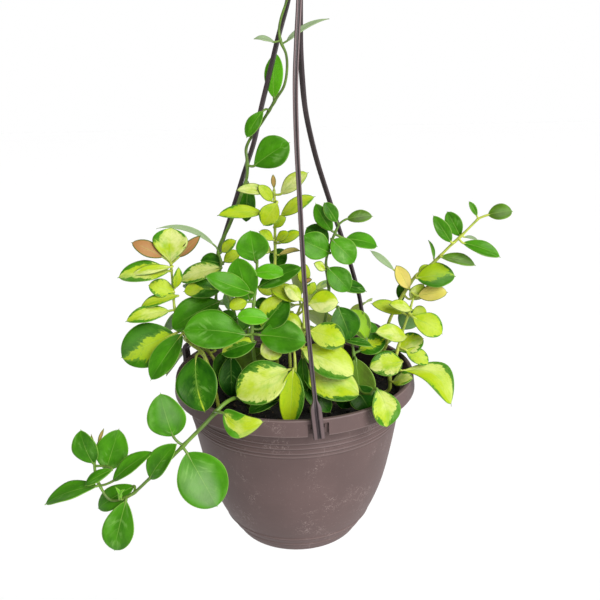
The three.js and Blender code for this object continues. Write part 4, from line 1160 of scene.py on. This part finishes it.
class HOYA_OT_pot(Operator):
    """Turn the pot, with its moulded rings, rolled rim, clip notches and drain holes."""
    bl_idname = "hoya.pot"
    bl_label = "Pot"

    def execute(self, context):
        sizes = values_of(context.scene.hoya_pot)
        ring_heights = [z for z, _ in (*RINGS, *BASE_RINGS)]
        # Pale lines painted as highlights on the ring crests and the rim's edges, and dark lines painted as
        # shade in the grooves under the rings
        highlit_heights = ring_heights + [POT_HEIGHT - SKIRT_DROP + 0.6, POT_HEIGHT - 0.6]
        shaded_heights = [z - 1.5 for z in ring_heights]
        plastic = plastic_material(
            "pot_plastic", sizes["plastic"], sizes["speck"], 0.5, 0.62, highlit_heights, shaded_heights)
        # The inside wall and floor are a darker copy of the plastic, painted shade, with soil-coloured specks
        inside = plastic_material("pot_inside", scaled(sizes["plastic"], 0.3), sizes["soil_colour"], 0.7, 0.5)
        profile = pot_profile(sizes)
        inner_from = len(profile) - INNER_POINTS
        made = turned(profile, sizes["round_steps"], "pot_fine", [plastic, inside], inner_from)
        cutters = []
        for name, near, far, width, low, high in (
                ("notch", NOTCH_FLOOR, SKIRT_RADIUS + 2, NOTCH_WIDTH, SKIRT_DROP + 1, LIP_THICKNESS),
                ("slot", MOUTH_RADIUS - 2, NOTCH_FLOOR + 1, SLOT[0], SLOT[2], SLOT[1])):
            corners = (near, -width / 2, POT_HEIGHT - low), (far, width / 2, POT_HEIGHT - high)
            cutters += [box_object(name, *corners, math.radians(degrees)) for degrees in ARM_FOOT.values()]
        for turn in circle(DRAIN_COUNT):
            centre = around(DRAIN_RING, turn + math.pi / DRAIN_COUNT)
            drill = Shape()
            drill.add_tube([centre - 3 * UP, centre + 6 * UP], [DRAIN_RADIUS] * 2, 32)
            cutters.append(drill.mesh_object("drill", []))
        cut(made, cutters)
        smooth_by_angle(made, 50)
        hand_over(made, "pot", "pot")
        return {"FINISHED"}


class HOYA_OT_soil(Operator):
    """Heap the potting mix, with crumbs and bits of bark."""
    bl_idname = "hoya.soil"
    bl_label = "Soil"

    def execute(self, context):
        sizes = values_of(context.scene.hoya_pot)
        dice = random.Random(11)

        def top_point(radius, turn, rise=0.0):
            spot = around(radius, turn)
            share = min(radius / SOIL_EDGE, 1)
            mound = SOIL_TOP - 1.2 * share ** 4 + SOIL_MOUND * (1 - share) ** 1.2 - 0.8
            spot.z = rise + mound + 1.1 * noise.noise(spot * 0.11) + 0.7 * noise.noise(spot * 0.42)
            return spot

        shape = Shape()
        rings, turns = 64, circle(150)
        sides = (
            (0, FLOOR_THICKNESS + 0.5), (INNER_FLOOR - 2, 3), (62, 24), (73.5, 48), (79.8, 75), (85, 108))
        rows = [[around(radius, turn, z) for turn in turns] for radius, z in sides]
        for ring in range(rings, -1, -1):
            rows.append([top_point(SOIL_EDGE * ring / rings, turn) for turn in turns])
        shape.add_grid(rows, closed=True)
        for _ in range(sizes["bark_count"]):
            radius = SOIL_EDGE * 0.97 * math.sqrt(dice.random())
            turn = 2 * math.pi * dice.random()
            size = 0.9 + 2.2 * dice.random() ** 2
            spin = Euler([dice.random() * 6 for _ in range(3)]).to_matrix()
            stretch = Vector((size * 1.7, size, size * 0.6))
            centre = top_point(radius, turn, 0.3 * size)
            rows = []
            for k in range(5):
                lift = -1 + k / 2
                ring_size = math.sqrt(max(1 - lift * lift, 0)) + 0.08
                rows.append([
                    centre + spin @ Vector((
                        stretch.x * ring_size * math.cos(a) * (0.8 + 0.4 * dice.random()),
                        stretch.y * ring_size * math.sin(a) * (0.8 + 0.4 * dice.random()), stretch.z * lift))
                    for a in circle(6)])
            shape.add_skin(rows)
        made = shape.mesh_object("soil_fine", [soil_material(sizes["soil_colour"])])
        hand_over(made, "soil", "soil")
        return {"FINISHED"}


def swept(shape, line, outward_at, section_at):
    """A closed bar with a (sideways, outward) section, whose outward side faces the way that is given."""
    rows, marks = [], []
    for number, point in enumerate(line):
        ahead = (line[min(number + 1, len(line) - 1)] - line[max(number - 1, 0)]).normalized()
        outward = outward_at(point)
        outward = (outward - outward.dot(ahead) * ahead).normalized()
        side = ahead.cross(outward)
        section = section_at(point)[::-1]
        wide = max(u for u, _ in section)
        deep = max(v for _, v in section)
        rows.append([point + u * side + v * outward for u, v in section])
        marks.append([shape.mark(u / wide, v / deep) for u, v in section])
    shape.add_skin(rows, marks=marks)


def grooved_section(width, depth, groove, share):
    """The outline of an arm: rounded, with a groove down its outer face."""
    half, deep = width / 2, depth / 2
    wall, edge = half * share, half * (share + 0.12)
    corners = [
        (0, -deep), (half, -deep), (half, deep), (edge, deep), (wall, deep - groove),
        (-wall, deep - groove), (-edge, deep), (-half, deep), (-half, -deep), (0, -deep)]
    return [tuple(point) for point in rounded(corners, 0.55, 3)[1:-1]]


def rounded_box(shape, low, high, spin, radius):
    """A box with rounded edges, swept upwards."""
    (x0, y0, z0), (x1, y1, z1) = low, high
    corners = [((x0 + x1) / 2, y0), (x1, y0), (x1, y1), (x0, y1), (x0, y0), ((x0 + x1) / 2, y0)]
    outline = [Vector(point) for point in rounded(corners, radius, 3)[1:-1]]
    middle = Vector(((x0 + x1) / 2, (y0 + y1) / 2))
    rows = []
    for z, inset in ((z0, radius), (z0 + 0.3 * radius, 0.3 * radius), (z0 + radius, 0), (z1 - radius, 0),
                     (z1 - 0.3 * radius, 0.3 * radius), (z1, radius)):
        row = []
        for point in outline:
            away = point - middle
            shrink = 1 - inset / max(away.length, radius)
            row.append(spin @ Vector((*(middle + shrink * away), z)))
        rows.append(row)
    shape.add_skin(rows)


class HOYA_OT_hanger(Operator):
    """Mould the hook with its hub, and the arms with the feet that clip on the rim."""
    bl_idname = "hoya.hanger"
    bl_label = "Hanger"

    def execute(self, context):
        sizes = values_of(context.scene.hoya_hanger)
        plastic = hanger_material(sizes["dark"], sizes["worn"])
        self.make_hook(sizes, plastic)
        for side in ARM_PATHS:
            self.make_arm(side, sizes, plastic)
        return {"FINISHED"}

    @staticmethod
    def make_hook(sizes, plastic):
        x, y, z = HUB_PLACE
        profile = rounded([
            (0, 0), (HUB_RADIUS, 0), (HUB_RADIUS, HUB_HEIGHT * 0.55), (5.5, HUB_HEIGHT),
            (0, HUB_HEIGHT)], 1.2)
        shape = Shape()
        rows = [[Vector(HUB_PLACE) + around(r, turn, h) for turn in circle(48)] for r, h in profile]
        shape.add_grid(rows, closed=True)
        centre = z + HUB_HEIGHT + SHANK_HEIGHT + HOOK_BEND * 0.5
        points = [Vector((x, y, z + HUB_HEIGHT - 3)), Vector((x, y, z + HUB_HEIGHT + 6))]
        for degrees in (-40, -10, 20, 50, 80, 110, 140, 170, 195):
            turn = math.radians(degrees)
            points.append(Vector((x + HOOK_BEND * math.cos(turn), y, centre + HOOK_BEND * math.sin(turn))))
        line = spline_line(points, 1.4)
        radii = [sizes["wire"]] * (len(line) - 3) + [sizes["wire"] * k for k in (0.95, 0.8, 0.5)]
        shape.add_tube(line, radii, 18)
        made = shape.mesh_object("hanger_hook_fine", [plastic])
        smooth_by_angle(made, 50)
        hand_over(made, "hanger", "hanger_hook")

    @staticmethod
    def make_arm(side, sizes, plastic):
        turn = math.radians(ARM_FOOT[side])
        lean = math.tan(math.radians(ARM_LEAN[side]))
        low = POT_HEIGHT - SKIRT_DROP
        outer = RIM_RADIUS + 1.4
        depth = FOOT_THICKNESS + 1
        foot_way = around(1, turn)
        sideways = UP.cross(foot_way)
        points = [(outer + depth / 2) * foot_way - lean * (height - low) * sideways + height * UP
                  for height in (low - 0.5, FOOT_TOP - 16, FOOT_TOP - 7)]
        points += [seen(place) for place in ARM_PATHS[side]]
        points[-1].z = HUB_PLACE[2] - 9
        points.append(Vector((points[-1].x, points[-1].y, HUB_PLACE[2] - TOUCH_GAP)))
        hub = Vector(HUB_PLACE)

        def outward_at(point):
            away = Vector((point.x - hub.x, point.y - hub.y, 0))
            near_foot = ramp(point.z, FOOT_TOP, FOOT_TOP + 60)
            far_top = ramp(point.z, 360, 420)
            blended = foot_way.lerp(away.normalized(), near_foot * (1 - far_top))
            return blended.lerp(foot_way, far_top)

        def section_at(point):
            size = 0.78 + 0.18 * ramp(point.z, FOOT_TOP, FOOT_TOP + 250)
            foot = ramp(point.z, FOOT_TOP + 2, FOOT_TOP - 5)
            foot *= foot * (3 - 2 * foot)
            width = size * sizes["arm_width"]
            return grooved_section(
                width + foot * (FOOT_WIDTH - width), size * sizes["arm_depth"] * (1 - foot) + foot * depth,
                sizes["groove"] * (1 + foot), 0.3 - 0.18 * foot)

        shape = Shape()
        swept(shape, spline_line(points, LINE_GAP), outward_at, section_at)
        spin = Matrix.Rotation(turn, 3, "Z")
        half = SLOT[0] / 2 - 1
        top = POT_HEIGHT - SLOT[1] - TOUCH_GAP
        bottom = POT_HEIGHT - SLOT[2] + TOUCH_GAP
        rounded_box(shape, (MOUTH_RADIUS - 1.5, -half, bottom), (outer + 1, half, top), spin, 0.4)
        made = shape.mesh_object("hanger_arm_" + side + "_fine", [plastic])
        smooth_by_angle(made, 40)
        hand_over(made, "hanger", "hanger_arm_" + side)


class HOYA_OT_seen_stems(Operator):
    """Grow the leafy stems that the picture shows."""
    bl_idname = "hoya.seen_stems"
    bl_label = "Stems in front"

    def execute(self, context):
        sizes = values_of(context.scene.hoya_leaf)
        for order, (name, (tint, stems, rows)) in enumerate(SEEN_STEMS.items()):
            routes = [stem_points(root, [seen(place) for place in path]) for root, path in stems]
            lines = [spline_line(route, LINE_GAP) for route in routes]
            leaves = [seen_leaf(stems, row, 1000 * order + number) for number, row in enumerate(rows)]
            leafy_stem_object(name, lines, leaves, tint, sizes)
        return {"FINISHED"}


class HOYA_OT_paired_stems(Operator):
    """Grow the leafy stems behind and beside the pot."""
    bl_idname = "hoya.paired_stems"
    bl_label = "Stems behind"

    def execute(self, context):
        sizes = values_of(context.scene.hoya_leaf)
        for name, (root, path, pairs, size, first, seed) in PAIRED_STEMS.items():
            points = stem_points(root, [Vector(place) for place in path])
            tint, looks = ("yellow", MIXED_LOOKS) if name in MIXED_STEMS else ("green", PLAIN_LOOKS)
            leaves = paired_leaves(points, pairs, size, first, seed, looks)
            leafy_stem_object(name, [spline_line(points, LINE_GAP)], leaves, tint, sizes)
        return {"FINISHED"}


class HOYA_OT_stage(Operator):
    """Set the pale floor, the soft lights and the camera."""
    bl_idname = "hoya.stage"
    bl_label = "Stage"

    def execute(self, context):
        stage = context.scene.hoya_stage
        self.make_floor(stage.drop)
        self.make_world(context.scene, stage.surround)
        self.make_sun("key_light", (40, 42, 0), 36, stage.key)
        self.make_sun("fill_light", (50, 66, 0), 60, stage.fill)
        self.make_camera(context.scene)
        context.scene.view_settings.view_transform = "Standard"
        return {"FINISHED"}

    @staticmethod
    def make_floor(drop):
        mesh = bpy.data.meshes.new("floor")
        ways = ((-1, -1), (1, -1), (1, 1), (-1, 1))
        corners = [(FLOOR_REACH * x, FLOOR_REACH * y, -drop) for x, y in ways]
        mesh.from_pydata(corners, [], [(0, 1, 2, 3)])
        shader = new_material("floor_paint")
        tint = shader.mix(shader.noise(shader.place(), 3, 2), [0.975] * 3, [0.99] * 3)
        mesh.materials.append(shader.finish(base_color=tint, roughness=0.9))
        floor = bpy.data.objects.new("floor", mesh)
        bpy.context.scene.collection.objects.link(floor)

    @staticmethod
    def make_world(scene, strength):
        """Even light from all sides, with plain white behind everything."""
        shader = Shader(bpy.data.worlds.new("studio"))
        light = shader.tree.nodes["Background"]
        shader.feed(light.inputs["Color"], (1, 1, 1))
        shader.feed(light.inputs["Strength"], strength)
        white = shader.node("ShaderNodeBackground", None, {"Color": (1, 1, 1), "Strength": 1.0})
        direct = shader.node("ShaderNodeLightPath", output="Is Camera Ray")
        mixed = shader.node("ShaderNodeMixShader", None, [direct, Value(shader, light.outputs[0]), white])
        shader.feed(shader.tree.nodes["World Output"].inputs["Surface"], mixed)
        scene.world = shader.owner

    @staticmethod
    def make_sun(name, degrees, spread, strength):
        light = bpy.data.lights.new(name, "SUN")
        light.energy = strength
        light.angle = math.radians(spread)
        made = bpy.data.objects.new(name, light)
        made.rotation_euler = Euler([math.radians(angle) for angle in degrees])
        bpy.context.scene.collection.objects.link(made)

    @staticmethod
    def make_camera(scene):
        ahead, right, above = eye_axes()
        camera = bpy.data.cameras.new("camera")
        camera.sensor_width = 36
        camera.lens = 36 * EYE_REACH / (2 * EYE_MIDDLE)
        camera.clip_end = 60
        made = bpy.data.objects.new("camera", camera)
        turn = Matrix((right, above, -ahead)).transposed()
        made.matrix_world = Matrix.Translation(EYE * MM) @ turn.to_4x4()
        scene.collection.objects.link(made)
        scene.camera = made


class HOYA_PT_panel(Panel):
    """Lists the pieces and their sizes."""
    bl_label = "Hanging hoya"
    bl_idname = "HOYA_PT_panel"
    bl_space_type = "VIEW_3D"
    bl_region_type = "UI"
    bl_category = "Hanging hoya"

    def draw(self, context):
        layout = self.layout
        for name, operators in PANEL_ROWS:
            group = getattr(context.scene, name)
            box = layout.box()
            for operator in operators:
                box.operator(operator)
            for key in group.__annotations__:
                box.prop(group, key)


PANEL_ROWS = (
    ("hoya_pot", ("hoya.pot", "hoya.soil")),
    ("hoya_hanger", ("hoya.hanger",)),
    ("hoya_leaf", ("hoya.materials", "hoya.seen_stems", "hoya.paired_stems")),
    ("hoya_stage", ("hoya.stage",)),
)
GROUPS = {
    "hoya_pot": HOYA_PG_pot,
    "hoya_hanger": HOYA_PG_hanger,
    "hoya_leaf": HOYA_PG_leaf,
    "hoya_stage": HOYA_PG_stage,
}
OPERATORS = (HOYA_OT_stage, HOYA_OT_materials, HOYA_OT_pot, HOYA_OT_soil, HOYA_OT_hanger, HOYA_OT_seen_stems,
             HOYA_OT_paired_stems)


def register():
    for group in GROUPS.values():
        bpy.utils.register_class(group)
    for name, group in GROUPS.items():
        setattr(bpy.types.Scene, name, PointerProperty(type=group))
    for operator in OPERATORS:
        bpy.utils.register_class(operator)
    bpy.utils.register_class(HOYA_PT_panel)


def unregister():
    bpy.utils.unregister_class(HOYA_PT_panel)
    for operator in reversed(OPERATORS):
        bpy.utils.unregister_class(operator)
    for name, group in GROUPS.items():
        delattr(bpy.types.Scene, name)
        bpy.utils.unregister_class(group)


def main():
    """Makes every piece in order."""
    register()
    for operator in OPERATORS:
        family, name = operator.bl_idname.split(".")
        getattr(getattr(bpy.ops, family), name)()


if __name__ == "__main__":
    main()
